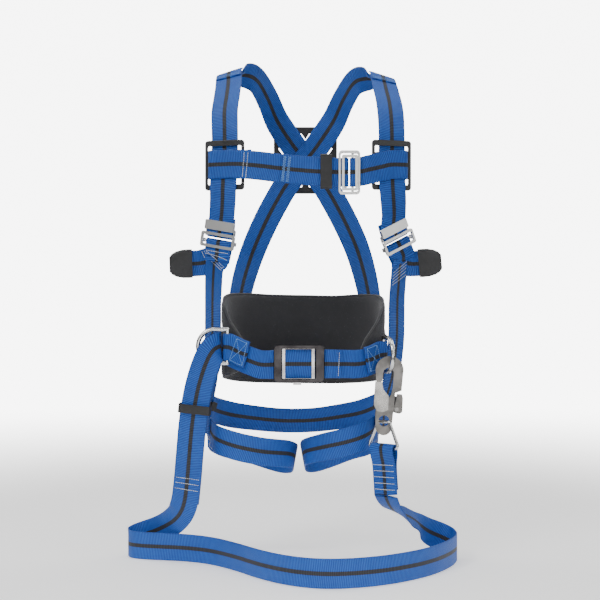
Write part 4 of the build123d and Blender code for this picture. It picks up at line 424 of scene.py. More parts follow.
def fabric(name, base, light, scale=1400.0, rough=0.78):
    m, nt, b = new_mat(name)
    ov = obj_vec(nt)
    sep = nd(nt, "ShaderNodeSeparateXYZ")
    link(nt, ov, sep.inputs[0])
    hx = math_node(nt, "ADD", sep.outputs[0], math_node(nt, "MULTIPLY", sep.outputs[1], 0.83))
    a = math_node(nt, "SINE", math_node(nt, "MULTIPLY", hx, 2 * pi / 0.0012))
    c = math_node(nt, "SINE", math_node(nt, "MULTIPLY", sep.outputs[2], 2 * pi / 0.0012))
    w = math_node(nt, "MULTIPLY_ADD", math_node(nt, "MULTIPLY", a, c), 0.5)
    w.node.inputs[2].default_value = 0.5
    f = noise_tex(nt, ov, scale, 3.0, 0.7)
    broad = noise_tex(nt, ov, 30.0, 4.0, 0.6)
    lint = smooth_band(nt, noise_tex(nt, ov, 420.0, 2.0, 0.5), 0.66, 0.74)
    col = mix_rgb(nt, w, base, light)
    col = mix_rgb(nt, math_node(nt, "MULTIPLY", broad, 0.5), col, base)
    col = mix_rgb(nt, math_node(nt, "MULTIPLY", lint, 0.25), col, tuple(min(1, x * 4 + 0.03) for x in light))
    link(nt, col, b.inputs["Base Color"])
    r = nd(nt, "ShaderNodeMapRange")
    link(nt, f, r.inputs[0])
    r.inputs[3].default_value = rough - 0.08
    r.inputs[4].default_value = rough + 0.08
    link(nt, r.outputs[0], b.inputs["Roughness"])
    b.inputs["Sheen Weight"].default_value = 0.25
    b.inputs["Sheen Roughness"].default_value = 0.5
    h = math_node(nt, "ADD", w, math_node(nt, "MULTIPLY", f, 0.4))
    bump = nd(nt, "ShaderNodeBump")
    bump.inputs["Strength"].default_value = 0.7
    bump.inputs["Distance"].default_value = 0.0003
    link(nt, h, bump.inputs["Height"])
    link(nt, bump.outputs[0], b.inputs["Normal"])
    return m


def metal(name, base, dark, rough=(0.2, 0.36), grain=0.0, pits=0.15, bump_d=0.00006, coat=0.0):
    """Plated or blasted metal: colour variation, fine scratches and soft wear."""
    m, nt, b = new_mat(name)
    ov = obj_vec(nt)
    broad = noise_tex(nt, ov, 45.0, 4.0, 0.6)
    fine = noise_tex(nt, ov, 900.0, 3.0, 0.65)
    mp = nd(nt, "ShaderNodeMapping")
    mp.inputs["Scale"].default_value = (1.0, 1.0, 0.06)
    link(nt, ov, mp.inputs["Vector"])
    scr = noise_tex(nt, mp.outputs[0], 1500.0, 2.0, 0.6)
    scratch = smooth_band(nt, scr, 0.60, 0.72)
    col = mix_rgb(nt, smooth_band(nt, broad, 0.3, 0.75), base, dark)
    col = mix_rgb(nt, math_node(nt, "MULTIPLY", smooth_band(nt, fine, 0.55, 0.8), pits), col, tuple(x * 0.4 for x in dark))
    link(nt, col, b.inputs["Base Color"])
    b.inputs["Metallic"].default_value = 1.0
    b.inputs["Specular IOR Level"].default_value = 0.5
    b.inputs["Coat Weight"].default_value = coat
    rr = nd(nt, "ShaderNodeMapRange")
    mixed = math_node(nt, "ADD", math_node(nt, "MULTIPLY", broad, 0.6), math_node(nt, "MULTIPLY", fine, 0.4))
    mixed = math_node(nt, "ADD", mixed, math_node(nt, "MULTIPLY", scratch, 0.25))
    link(nt, mixed, rr.inputs[0])
    rr.inputs[1].default_value = 0.3
    rr.inputs[2].default_value = 0.9
    rr.inputs[3].default_value = rough[0]
    rr.inputs[4].default_value = rough[1]
    link(nt, rr.outputs[0], b.inputs["Roughness"])
    h = math_node(nt, "ADD", math_node(nt, "MULTIPLY", fine, 0.6 + grain), math_node(nt, "MULTIPLY", scratch, -0.4))
    bump = nd(nt, "ShaderNodeBump")
    bump.inputs["Strength"].default_value = 0.5
    bump.inputs["Distance"].default_value = bump_d
    link(nt, h, bump.inputs["Height"])
    link(nt, bump.outputs[0], b.inputs["Normal"])
    return m


def plastic(name, base, light, rough=(0.34, 0.5), grain=0.00012, scale=700.0):
    m, nt, b = new_mat(name)
    ov = obj_vec(nt)
    g = noise_tex(nt, ov, scale, 2.0, 0.5)
    broad = noise_tex(nt, ov, 35.0, 4.0, 0.6)
    dust = smooth_band(nt, noise_tex(nt, ov, 300.0, 3.0, 0.6), 0.62, 0.8)
    col = mix_rgb(nt, smooth_band(nt, broad, 0.3, 0.8), base, light)
    col = mix_rgb(nt, math_node(nt, "MULTIPLY", dust, 0.10), col, (0.16, 0.16, 0.17))
    link(nt, col, b.inputs["Base Color"])
    rr = nd(nt, "ShaderNodeMapRange")
    link(nt, broad, rr.inputs[0])
    rr.inputs[1].default_value = 0.3
    rr.inputs[2].default_value = 0.75
    rr.inputs[3].default_value = rough[0]
    rr.inputs[4].default_value = rough[1]
    link(nt, rr.outputs[0], b.inputs["Roughness"])
    b.inputs["Specular IOR Level"].default_value = 0.5
    bump = nd(nt, "ShaderNodeBump")
    bump.inputs["Strength"].default_value = 0.6
    bump.inputs["Distance"].default_value = grain
    link(nt, g, bump.inputs["Height"])
    link(nt, bump.outputs[0], b.inputs["Normal"])
    return m


BLUE, BLUE_DEEP, BLUE_LIGHT = (0.004, 0.118, 0.56), (0.001, 0.032, 0.22), (0.035, 0.32, 0.86)
M_WEB = webbing("blue_webbing", BLUE, BLUE_DEEP, BLUE_LIGHT)
M_HEM = webbing("blue_webbing_hem", BLUE, BLUE_DEEP, BLUE_LIGHT)
M_THREAD = fabric("white_thread", (0.62, 0.63, 0.64), (0.86, 0.86, 0.85), 3000.0, 0.6)
M_THREAD_BLUE = fabric("pale_blue_thread", (0.10, 0.28, 0.66), (0.25, 0.48, 0.85), 3000.0, 0.6)
M_PAD = fabric("black_pad_fabric", (0.009, 0.009, 0.011), (0.035, 0.035, 0.038))
M_PIPING = fabric("black_piping", (0.012, 0.012, 0.013), (0.05, 0.05, 0.053), 2400.0, 0.6)
M_ZINC = metal("zinc_plate", (0.97, 0.97, 0.955), (0.90, 0.90, 0.885), (0.34, 0.48))
M_RING = metal("ring_steel", (0.74, 0.74, 0.73), (0.55, 0.55, 0.54), (0.18, 0.36))
M_HOOK = metal("hook_steel", (0.21, 0.2, 0.19), (0.115, 0.111, 0.104), (0.30, 0.46), 0.6, 0.3, 0.00016)
M_LEVER = metal("lever_steel", (0.33, 0.32, 0.305), (0.2, 0.195, 0.186), (0.24, 0.38), 0.3, 0.25, 0.0001)
M_NICKEL = metal("black_nickel", (0.04, 0.037, 0.038), (0.02, 0.018, 0.019), (0.16, 0.3), 0.0, 0.2)
# waist buckle plate: black nickel in a lighter colour, a painted highlight standing in for the bright edges of its bars
M_NICKEL_PAINTED_HIGHLIGHT = metal("nickel_painted_highlight", (0.42, 0.41, 0.41), (0.22, 0.21, 0.21), (0.18, 0.32), 0.0, 0.2)
M_SPRING = metal("spring_steel", (0.5, 0.5, 0.5), (0.35, 0.35, 0.35), (0.2, 0.32))
M_BLACK = plastic("black_plastic", (0.011, 0.011, 0.012), (0.026, 0.026, 0.028))
M_CAP = plastic("rubber_cap", (0.014, 0.014, 0.015), (0.03, 0.03, 0.032), (0.42, 0.6), 0.0002, 900.0)

MATERIAL_OF = {
    "waist_buckle_frame": M_NICKEL, "waist_buckle_plate": M_NICKEL_PAINTED_HIGHLIGHT,
    "chest_buckle_frame": M_ZINC, "chest_buckle_plate": M_ZINC,
    "torso_buckle_frame_right": M_ZINC, "torso_buckle_frame_left": M_ZINC,
    "torso_buckle_plate_right": M_ZINC, "torso_buckle_plate_left": M_ZINC,
    "side_d_ring_right": M_RING, "side_d_ring_left": M_RING, "dorsal_d_ring": M_RING,
    "link_ring": M_RING, "hook_body": M_HOOK, "hook_gate": M_LEVER, "hook_lock_lever": M_HOOK,
    "gate_pin": M_LEVER, "lever_pin": M_LEVER, "gate_spring": M_SPRING, "lever_spring": M_SPRING,
    "dorsal_plate": M_BLACK, "chest_keeper": M_BLACK, "lanyard_keeper": M_BLACK,
    "chest_slider_right": M_BLACK, "chest_slider_left": M_BLACK, "hip_slider_right": M_BLACK, "hip_slider_left": M_BLACK,
    "tail_cap_right": M_CAP, "tail_cap_left": M_CAP,
}
for name, mat in MATERIAL_OF.items():
    N[name].data.materials.clear()
    N[name].data.materials.append(mat)


# ------------------------------------------------------------------ strap line
def catmull(p0, p1, p2, p3, s):
    return [0.5 * (2 * b + (c - a) * s + (2 * a - 5 * b + 4 * c - d) * s * s + (3 * b - a - 3 * c + d) * s ** 3)
            for a, b, c, d in zip(p0, p1, p2, p3)]


class Line:
    """A strap's centre line: at(s) gives point, tangent, width and outward directions at a length in metres."""

    def __init__(self, pts, widths, step=0.0035):
        raw = []
        for p, w in zip(pts, widths):
            raw.append((Vector(p), Vector(w)))
        cum = [0.0]
        for a, b in zip(raw, raw[1:]):
            cum.append(cum[-1] + (b[0] - a[0]).length)
        self.raw, self.cum, self.length = raw, cum, cum[-1]

    def at(self, s):
        s = max(0.0, min(self.length, s))
        lo, hi = 0, len(self.cum) - 1
        while hi - lo > 1:
            m = (lo + hi) // 2
            if self.cum[m] <= s:
                lo = m
            else:
                hi = m
        span = max(1e-9, self.cum[hi] - self.cum[lo])
        f = (s - self.cum[lo]) / span
        p = self.raw[lo][0].lerp(self.raw[hi][0], f)
        e = 0.0012
        def pos(q):
            q = max(0.0, min(self.length, q))
            i = lo
            while i > 0 and self.cum[i] > q:
                i -= 1
            while i < len(self.cum) - 2 and self.cum[i + 1] < q:
                i += 1
            g = (q - self.cum[i]) / max(1e-9, self.cum[i + 1] - self.cum[i])
            return self.raw[i][0].lerp(self.raw[i + 1][0], g)
        t = (pos(s + e) - pos(s - e)).normalized()
        w = self.raw[lo][1].lerp(self.raw[hi][1], f)
        w = (w - t * w.dot(t)).normalized()
        return p, t, w, w.cross(t).normalized()


def strap_line(rows, n=6):
    rows = [tuple(v * (0.001 if i < 3 else 1.0) for i, v in enumerate(r)) for r in rows]
    ext = [[2 * a - b for a, b in zip(rows[0], rows[1])]] + [list(r) for r in rows] + [[2 * a - b for a, b in zip(rows[-1], rows[-2])]]
    pts = []
    for i in range(1, len(ext) - 2):
        for k in range(n):
            pts.append(catmull(ext[i - 1], ext[i], ext[i + 1], ext[i + 2], k / n))
    pts.append(list(rows[-1]))
    return Line([p[:3] for p in pts], [p[3:] for p in pts])


def ribbon(name, line, width=WEB_W, thick=WEB_T, mat=None, step=0.0030, s0=0.0, s1=None, wave=0.0, ease=None, seed=0, lift=0.0):
    """Webbing as a closed form with rounded selvedges, a faint crown, and UVs in metres."""
    s1 = line.length if s1 is None else s1
    n = max(4, int(round((s1 - s0) / step)))
    t2, w2 = thick / 2, width / 2
    cols = 12
    prof = []
    for k in range(cols + 1):
        x = -1 + 2 * k / cols
        prof.append((x * (w2 - t2 * 0.8), t2 * (1.0 - 0.10 * x * x)))
    ring = [(x, h) for x, h in prof]
    for k in range(1, 4):
        a = pi / 2 - pi * k / 4
        ring.append((w2 - t2 * 0.8 + t2 * 0.8 * cos(a), t2 * 0.9 * sin(a)))
    ring += [(x, -h) for x, h in reversed(prof)]
    for k in range(1, 4):
        a = -pi / 2 - pi * k / 4
        ring.append((-(w2 - t2 * 0.8) + t2 * 0.8 * cos(a), t2 * 0.9 * sin(a)))
    m = len(ring)
    verts, faces, uvs = [], [], []
    for i in range(n + 1):
        s = s0 + (s1 - s0) * i / n
        p, t, w, o = line.at(s)
        j = mnoise.noise(Vector((s * 38.0, seed * 3.7, 0.0)))
        dw = 1.0 + 0.004 * mnoise.noise(Vector((s * 90.0, seed * 1.3, 4.0)))
        for x, h in ring:
            b = wave * mnoise.noise(Vector((s * 16.0, x * 40.0, seed * 5.1))) + lift
            verts.append(p + w * (x * dw) + o * (h + b + 0.00008 * j))
    v_at = [s0 + (s1 - s0) * i / n for i in range(n + 1)]
    across = [r[0] for r in ring]
    for i in range(n):
        for k in range(m):
            k2 = (k + 1) % m
            faces.append((i * m + k, i * m + k2, (i + 1) * m + k2, (i + 1) * m + k))
            uvs.append(((across[k], v_at[i]), (across[k2], v_at[i]), (across[k2], v_at[i + 1]), (across[k], v_at[i + 1])))
    for i, rev in ((0, True), (n, False)):
        f = [i * m + k for k in range(m)]
        q = [(across[k], v_at[i] + 0.0005) for k in range(m)]
        if rev:
            f, q = f[::-1], q[::-1]
        faces.append(tuple(f))
        uvs.append(tuple(q))
    me = bpy.data.meshes.new(name)
    me.from_pydata(verts, [], [f[::-1] for f in faces])
    uvl = me.uv_layers.new(name="UVMap")
    li = 0
    for q in uvs:
        for c in q[::-1]:
            uvl.data[li].uv = c
            li += 1
    for poly in me.polygons:
        poly.use_smooth = True
    me.materials.append(mat or M_WEB)
    ob = bpy.data.objects.new(name, me)
    scene.collection.objects.link(ob)
    return ob


# ------------------------------------------------------------------ stitching
class Threads:
    """Short capsules of thread on a strap's face, gathered in one mesh for each strap."""

    def __init__(self, name, line, mat=None, thick=WEB_T):
        self.name, self.line, self.mat, self.thick, self.v, self.f = name, line, mat or M_THREAD, thick, [], []

    def stitch(self, a, b, side=1, r=0.00042, lift=0.0):
        """One stitch from a to b, each (s, across)."""
        P = []
        for f in (0.0, 0.12, 0.5, 0.88, 1.0):
            s, x = a[0] + (b[0] - a[0]) * f, a[1] + (b[1] - a[1]) * f
            p, t, w, o = self.line.at(s)
            h = {0.0: -0.0003, 0.12: 0.0001, 0.5: 0.00032, 0.88: 0.0001, 1.0: -0.0003}[f]
            P.append((p + w * x + o * side * (self.thick / 2 * (1 - 0.1 * (x / 0.0225) ** 2) + h + lift), t, w, o * side))
        base = len(self.v)
        d = (P[-1][0] - P[0][0]).normalized()
        for i, (p, t, w, o) in enumerate(P):
            q = d.cross(o).normalized()
            rr = r * (0.55 if i in (0, 4) else 1.0)
            for k in range(6):
                a2 = 2 * pi * k / 6
                self.v.append(p + q * (rr * cos(a2)) + o * (rr * 0.8 * sin(a2)))
        for i in range(4):
            for k in range(6):
                k2 = (k + 1) % 6
                self.f.append((base + i * 6 + k, base + i * 6 + k2, base + (i + 1) * 6 + k2, base + (i + 1) * 6 + k))
        self.f.append(tuple(base + k for k in range(6))[::-1])
        self.f.append(tuple(base + 24 + k for k in range(6)))

    def row(self, a, b, pitch=0.0031, gap=0.0006, side=1, r=0.00042, lift=0.0):
        """A straight row of stitches between two (s, across) points."""
        L = math.hypot(b[0] - a[0], b[1] - a[1])
        n = max(1, int(round(L / pitch)))
        for i in range(n):
            f0, f1 = i / n, (i + 1) / n - gap / L
            pa = (a[0] + (b[0] - a[0]) * f0, a[1] + (b[1] - a[1]) * f0)
            pb = (a[0] + (b[0] - a[0]) * f1, a[1] + (b[1] - a[1]) * f1)
            j = random.uniform(-0.00012, 0.00012)
            self.stitch((pa[0] + j, pa[1]), (pb[0] + j, pb[1]), side, r, lift)

    def bar(self, s, half=0.0185, sides=(1, -1), **kw):
        for sd in sides:
            self.row((s, -half), (s + random.uniform(-0.0004, 0.0004), half), side=sd, **kw)

    def zigzag(self, s, half=0.019, amp=0.0011, pitch=0.0019, side=1):
        n = int(2 * half / pitch)
        for i in range(n):
            x0 = -half + i * pitch
            self.stitch((s - amp * (1 if i % 2 else -1), x0), (s + amp * (1 if i % 2 else -1), x0 + pitch), side, 0.00036)

    def box_x(self, s0, s1, half=0.0185, side=1, **kw):
        self.row((s0, -half), (s1, -half), side=side, **kw)
        self.row((s0, half), (s1, half), side=side, **kw)
        self.row((s0, -half), (s0, half), side=side, **kw)
        self.row((s1, -half), (s1, half), side=side, **kw)
        self.row((s0, -half), (s1, half), side=side, **kw)
        self.row((s0, half), (s1, -half), side=side, **kw)

    def build(self, parent):
        me = bpy.data.meshes.new(self.name)
        me.from_pydata(self.v, [], self.f)
        for p in me.polygons:
            p.use_smooth = True
        me.materials.append(self.mat)
        ob = bpy.data.objects.new(self.name, me)
        scene.collection.objects.link(ob)
        if parent is not None:
            ob.parent = parent
        return ob


# ------------------------------------------------------------------ free lanyard first
cu = bpy.data.curves.new("lanyard_line", "CURVE")
cu.dimensions = "3D"
sp = cu.splines.new("NURBS")
sp.points.add(len(ROUTE) - 1)
for i, r in enumerate(ROUTE):
    sp.points[i].co = (r[0] / 1000, r[1] / 1000, r[2] / 1000, 1.0)
sp.order_u = 3
sp.use_endpoint_u = True
sp.resolution_u = 16
co = bpy.data.objects.new("lanyard_line", cu)
scene.collection.objects.link(co)
bpy.context.view_layer.update()
lm = bpy.data.meshes.new_from_object(co)
path = [v.co.copy() for v in lm.vertices]
bpy.data.objects.remove(co)
ctrl = [(Vector(r[:3]) / 1000, Vector(r[3:])) for r in ROUTE]


def width_near(p, k0):
    best, bi, bf = 1e9, 0, 0.0
    for i in range(max(0, k0 - 2), min(len(ctrl) - 1, k0 + 4)):
        a, b = ctrl[i][0], ctrl[i + 1][0]
        f = max(0.0, min(1.0, (p - a).dot(b - a) / (b - a).length_squared))
        d = (p - a.lerp(b, f)).length
        if d < best:
            best, bi, bf = d, i, f
    bf = bf * bf * (3 - 2 * bf)
    return ctrl[bi][1].lerp(ctrl[bi + 1][1], bf).normalized(), bi


ws, k = [], 0
for p in path:
    w, k = width_near(p, k)
    ws.append(w)
for _ in range(6):
    ws = [ws[0]] + [(ws[i - 1] + ws[i] * 2 + ws[i + 1]).normalized() for i in range(1, len(ws) - 1)] + [ws[-1]]
LAN = Line(path, ws)
lanyard = ribbon("free_lanyard", LAN, wave=0.0, step=0.0035, seed=1)
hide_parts("lanyard_run")

# ------------------------------------------------------------------ every strap
LINES, STRAPS = {}, {}
for name, rows in ROWS.items():
    if name == "lanyard_hook_end":
        rows = rows + [(127.1, -92.25, -214.2, -.77, .64, 0)]
    LINES[name] = strap_line(rows)
ROOT = [b for b, e in frame["bodies"].items() if any(N["waist_pad"].parent == e for _ in (0,))][0]
for i, (name, line) in enumerate(LINES.items()):
    width = {"strap_tail_right": .044, "strap_tail_left": .044, "d_ring_loop_right": .043, "d_ring_loop_left": .043,
             "shoulder_hem_right": .044, "shoulder_hem_left": .044}.get(name, WEB_W)
    ob = ribbon(name + "_webbing", line, width=width, seed=i + 2, step=0.0028)
    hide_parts(name)
    if name == "lanyard_hook_end":
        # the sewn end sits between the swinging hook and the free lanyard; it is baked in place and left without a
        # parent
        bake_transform(ob)
    else:
        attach(ob, ROOT)
    STRAPS[name] = ob
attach(lanyard, ROOT)


def s_near(line, p):
    """Length along a line whose point is nearest to p (mm)."""
    p = Vector(p) / 1000
    best, bs = 1e9, 0.0
    n = int(line.length / 0.001)
    for i in range(n + 1):
        s = line.length * i / n
        d = (line.at(s)[0] - p).length
        if d < best:
            best, bs = d, s
    return bs


def side_of(line, s, towards=(0, -1, 0)):
    return 1 if line.at(s)[3].dot(Vector(towards)) > 0 else -1


# ------------------------------------------------------------------ sewing
def threads(strap, mat=None):
    return Threads(strap + "_stitching", LINES[strap], mat)


def lines_on(t, marks, side, half=0.0195, skew=0.0, **kw):
    for s in marks:
        t.row((s - skew, -half), (s + skew, half), side=side, **kw)


def done(t, strap):
    hook = strap == "lanyard_hook_end"
    ob = t.build(None if hook else STRAPS[strap])
    if hook:
        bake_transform(ob)


def front_s(strap, x, z, y=-300):
    """Length along a strap of its front-most point near x, z (mm)."""
    line, best, bs = LINES[strap], 1e9, 0.0
    n = int(line.length / 0.0008)
    for i in range(n + 1):
        s = line.length * i / n
        p, t, w, o = line.at(s)
        d = math.hypot(p.x - x / 1000, p.z - z / 1000) + p.y * 0.05
        if d < best:
            best, bs = d, s
    return bs


# right chest piece: two rows beside the slider, zigzag bar tacks where the middle piece is sewn on
t = threads("chest_strap_right")
s = front_s("chest_strap_right", -98, 310)
for ds in (0.0, 0.0056):
    lines_on(t, [s + ds], side_of(LINES["chest_strap_right"], s), r=0.0005)
s_back = 0.010
for ds in (0.0, 0.0056):
    lines_on(t, [s_back + ds], side_of(LINES["chest_strap_right"], s_back, (0, 1, 0)), r=0.0005)
done(t, "chest_strap_right")
t = threads("chest_strap_middle", M_THREAD_BLUE)
sd = side_of(LINES["chest_strap_middle"], 0.02)
for ds in (0.0030, 0.0052, 0.0105, 0.0127):
    t.zigzag(ds, half=0.0205, side=sd)
done(t, "chest_strap_middle")
t = threads("chest_strap_left")
s = front_s("chest_strap_left", 96, 302)
for ds in (0.0, 0.0072):
    lines_on(t, [s + ds], side_of(LINES["chest_strap_left"], s), r=0.0005)
done(t, "chest_strap_left")

# torso: slanted rows below each buckle, where the side strap is folded back and sewn
for side, sg in (("right", 1), ("left", -1)):
    strap = "side_strap_" + side
    t = threads(strap)
    zz = {"right": (-141, 176), "left": (148, 152)}[side]
    s = front_s(strap, *zz)
    sd = side_of(LINES[strap], s)
    for k in range(5):
        for face in (sd, -sd):
            t.row((s + 0.0015 + 0.0062 * k - 0.0012, -0.0195), (s + 0.0015 + 0.0062 * k + 0.0012, 0.0195), side=face, r=0.0005)
    done(t, strap)

# adjuster tails: three slanted rows
for side in ("right", "left"):
    strap = "strap_tail_" + side
    t = threads(strap)
    for s in (0.027, 0.0325, 0.038):
        lines_on(t, [s], side_of(LINES[strap], s), half=0.019, skew=0.004 if side == "right" else -0.004, r=0.0005)
    done(t, strap)

# belt: the sewn end of the left piece, the free end of the right piece
for strap, marks in (("waist_belt_left", (0.006, 0.0115)), ("waist_belt_right", (0.006, 0.0115))):
    t = threads(strap)
    for sd in (1, -1):
        lines_on(t, marks, sd)
    L = LINES[strap].length
    for sd in (1, -1):
        lines_on(t, (L - 0.004, L - 0.008), sd, half=0.019)
    done(t, strap)

# loops that hold the side rings: box and cross on the outer face
for side in ("right", "left"):
    strap = "d_ring_loop_" + side
    t = Threads(strap + "_stitching", LINES[strap], M_THREAD_BLUE)
    L = LINES[strap].length
    sd = side_of(LINES[strap], L - 0.01, (-1 if side == "right" else 1, -1, 0))
    t.box_x(L - 0.003, L - 0.026, half=0.0185, side=sd)
    done(t, strap)

# shoulder hems
for side in ("right", "left"):
    strap = "shoulder_hem_" + side
    t = Threads(strap + "_stitching", LINES[strap], M_THREAD_BLUE)
    for s in (0.004, 0.009, 0.036, 0.041):
        lines_on(t, [s], side_of(LINES[strap], s, (0, -0.3, 1)), half=0.0195)
    done(t, strap)

# back straps: box stitches over the shoulder and above the belt
for side in ("right", "left"):
    strap = "back_strap_" + side
    t = Threads(strap + "_stitching", LINES[strap], M_THREAD)
    L = LINES[strap].length
    sd = side_of(LINES[strap], L - 0.03, (0, 1, 0))
    t.box_x(L - 0.006, L - 0.034, side=sd)
    s = 0.05
    sd = side_of(LINES[strap], s, (0, 1, 1))
    t.box_x(s, s + 0.030, side=sd)
    done(t, strap)

# leg straps and seat strap: rows at their sewn ends
for strap in ("leg_strap_right", "leg_strap_left", "seat_strap"):
    t = threads(strap)
    L = LINES[strap].length
    for s0 in (0.006, L - 0.022):
        for sd in (1, -1):
            t.box_x(s0, s0 + 0.018, side=sd)
    done(t, strap)

# lanyard: five rows below the link ring, three rows above the fold by the floor
t = threads("lanyard_hook_end")
Lh = LINES["lanyard_hook_end"].length
s = Lh - 0.050
sd = side_of(LINES["lanyard_hook_end"], s, (-0.64, -0.77, 0))
for k in range(5):
    lines_on(t, [s + 0.0098 * k], sd, half=0.0195, skew=0.0008, r=0.00055)
s2 = 0.012
sd2 = side_of(LINES["lanyard_hook_end"], s2, (0.64, 0.77, 0))
for k in range(4):
    lines_on(t, [s2 + 0.0098 * k], sd2, half=0.0195, r=0.0005)
done(t, "lanyard_hook_end")
t = Threads("free_lanyard_stitching", LAN)


def lan_s(z):
    best, bs = 1e9, 0.0
    for i in range(600):
        s = 0.6 * i / 600
        d = abs(LAN.at(s)[0].z - z / 1000)
        if d < best:
            best, bs = d, s
    return bs


for z in (-189, -198, -208):
    s = lan_s(z)
    t.row((s, -0.0195), (s + 0.001, 0.0195), side=side_of(LAN, s), r=0.0005)
lan_thread = t.build(lanyard)
t = Threads("lanyard_ring_end_stitching", LINES["lanyard_ring_end"])
Lr = LINES["lanyard_ring_end"].length
for ds in (0.006, 0.015, 0.025):
    s = Lr - ds
    t.row((s, -0.0195), (s, 0.0195), side=side_of(LINES["lanyard_ring_end"], s, (0, 1, 0)), r=0.0005)
done(t, "lanyard_ring_end")


# ------------------------------------------------------------------ waist pad
BELT = dict(cx=-4.0, cy=-2.0, a=138.0, b=103.6, n=2.3)


def belt_xy(angle, out=0.0):
    s, c = sin(radians(angle)), cos(radians(angle))
    e = 2 / BELT["n"]
    return (BELT["cx"] - (BELT["a"] + out) * copysign(abs(s) ** e, s), BELT["cy"] - (BELT["b"] + out) * copysign(abs(c) ** e, c))


PAD_HALF = [(42, 2, 22), (46, -10, 36), (52, -17, 48), (60, -21, 61), (69, -24, 76), (78, -27, 89), (90, -30, 100),
            (105, -34, 106), (120, -38, 108), (140, -42, 108), (160, -44, 106), (180, -45, 105)]
PAD = PAD_HALF + [(-a, lo - 1, hi - 2) for a, lo, hi in PAD_HALF[-2::-1]]
pad_rows = []
for a, lo, hi in PAD:
    pad_rows.append(((a if a > 0 else a + 360), lo, hi))


def pad_at(f):
    """Angle, low and high edge at f from 0 to 1 along the pad, smooth between its rows."""
    q = f * (len(pad_rows) - 1)
    i = min(int(q), len(pad_rows) - 2)
    g = q - i
    e = [pad_rows[max(i - 1, 0)], pad_rows[i], pad_rows[i + 1], pad_rows[min(i + 2, len(pad_rows) - 1)]]
    return catmull(*e, g)


def make_pad():
    NU, NV = 150, 26
    T = 0.0066
    verts, faces = [], []

    def edge_fall(f, h):
        du = min(f, 1 - f) * 1.05
        dv = min(h, 1 - h) * 0.14
        d = min(du / 0.025, dv / 0.012, 1.0)
        return math.sqrt(max(0.0, 1 - (1 - d) ** 2))

    for layer in (1, -1):
        for i in range(NU + 1):
            f = i / NU
            a, lo, hi = pad_at(f)
            for k in range(NV + 1):
                h = k / NV
                z = lo + (hi - lo) * h
                x, y = belt_xy(a, -5.5)
                x2, y2 = belt_xy(a, -4.5)
                nrm = Vector((x2 - x, y2 - y, 0)).normalized()
                puff = edge_fall(f, h)
                # the belt sits over the outer face and presses it flat there; channels run along the pad
                chan = 0.0
                for c in (0.36, 0.66):
                    chan += math.exp(-((h - c) / 0.035) ** 2) * (0.0010 if 0.1 < f < 0.9 else 0.0)
                lump = 0.00035 * mnoise.noise(Vector((f * 30, h * 6, 2.0 + layer)))
                off = layer * (T / 2) * (0.22 + 0.78 * puff) * (1.0 if layer < 0 else 0.96) + layer * (lump - chan)
                verts.append(Vector((x / 1000, y / 1000, z / 1000)) + nrm * off)
    m = NV + 1
    L = (NU + 1) * m
    for i in range(NU):
        for k in range(NV):
            a0 = i * m + k
            faces.append((a0, a0 + m, a0 + m + 1, a0 + 1))
            faces.append((L + a0, L + a0 + 1, L + a0 + m + 1, L + a0 + m))
    for i in range(NU):
        a0, b0 = i * m, (i + 1) * m
        faces.append((a0, L + a0, L + b0, b0))
        a1, b1 = a0 + NV, b0 + NV
        faces.append((a1, b1, L + b1, L + a1))
    for k in range(NV):
        faces.append((k, k + 1, L + k + 1, L + k))
        q = NU * m + k
        faces.append((q, L + q, L + q + 1, q + 1))
    me = bpy.data.meshes.new("waist_pad_cushion")
    me.from_pydata(verts, [], faces)
    bm = bmesh.new()
    bm.from_mesh(me)
    bmesh.ops.recalc_face_normals(bm, faces=bm.faces)
    bm.to_mesh(me)
    bm.free()
    for p in me.polygons:
        p.use_smooth = True
    me.materials.append(M_PAD)
    ob = bpy.data.objects.new("waist_pad_cushion", me)
    scene.collection.objects.link(ob)
    return ob


pad = make_pad()
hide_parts("waist_pad")
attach(pad, ROOT)


def tube(name, pts, r, mat, closed=True, sides=8, twist=0.0):
    verts, faces = [], []
    n = len(pts)
    prev = None
    for i, p in enumerate(pts):
        a = pts[(i - 1) % n] if (closed or i > 0) else p
        b = pts[(i + 1) % n] if (closed or i < n - 1) else p
        t = (b - a).normalized()
        if prev is None:
            prev = t.orthogonal().normalized()
        q = (prev - t * prev.dot(t)).normalized()
        prev = q
        s = t.cross(q)
        for k in range(sides):
            ang = 2 * pi * k / sides + twist * i
            verts.append(p + q * (r * cos(ang)) + s * (r * sin(ang)))
    rng = n if closed else n - 1
    for i in range(rng):
        for k in range(sides):
            k2 = (k + 1) % sides
            j = (i + 1) % n
            faces.append((i * sides + k, i * sides + k2, j * sides + k2, j * sides + k))
    if not closed:
        faces.append(tuple(range(sides))[::-1])
        faces.append(tuple((n - 1) * sides + k for k in range(sides)))
    me = bpy.data.meshes.new(name)
    me.from_pydata(verts, [], faces)
    for p in me.polygons:
        p.use_smooth = True
    me.materials.append(mat)
    ob = bpy.data.objects.new(name, me)
    scene.collection.objects.link(ob)
    return ob


loop_pts = []
for i in range(240):
    f = i / 240
    a, lo, hi = pad_at(f)
    x, y = belt_xy(a, -5.5)
    loop_pts.append(Vector((x, y, hi)) / 1000)
a, lo, hi = pad_at(1.0)
for k in range(6):
    x, y = belt_xy(a, -5.5)
    loop_pts.append(Vector((x, y, hi + (lo - hi) * k / 6)) / 1000)
for i in range(240):
    f = 1 - i / 240
    a, lo, hi = pad_at(f)
    x, y = belt_xy(a, -5.5)
    loop_pts.append(Vector((x, y, lo)) / 1000)
a, lo, hi = pad_at(0.0)
for k in range(6):
    x, y = belt_xy(a, -5.5)
    loop_pts.append(Vector((x, y, lo + (hi - lo) * k / 6)) / 1000)
piping = tube("waist_pad_piping", loop_pts, 0.0019, M_PIPING)
piping.parent = pad


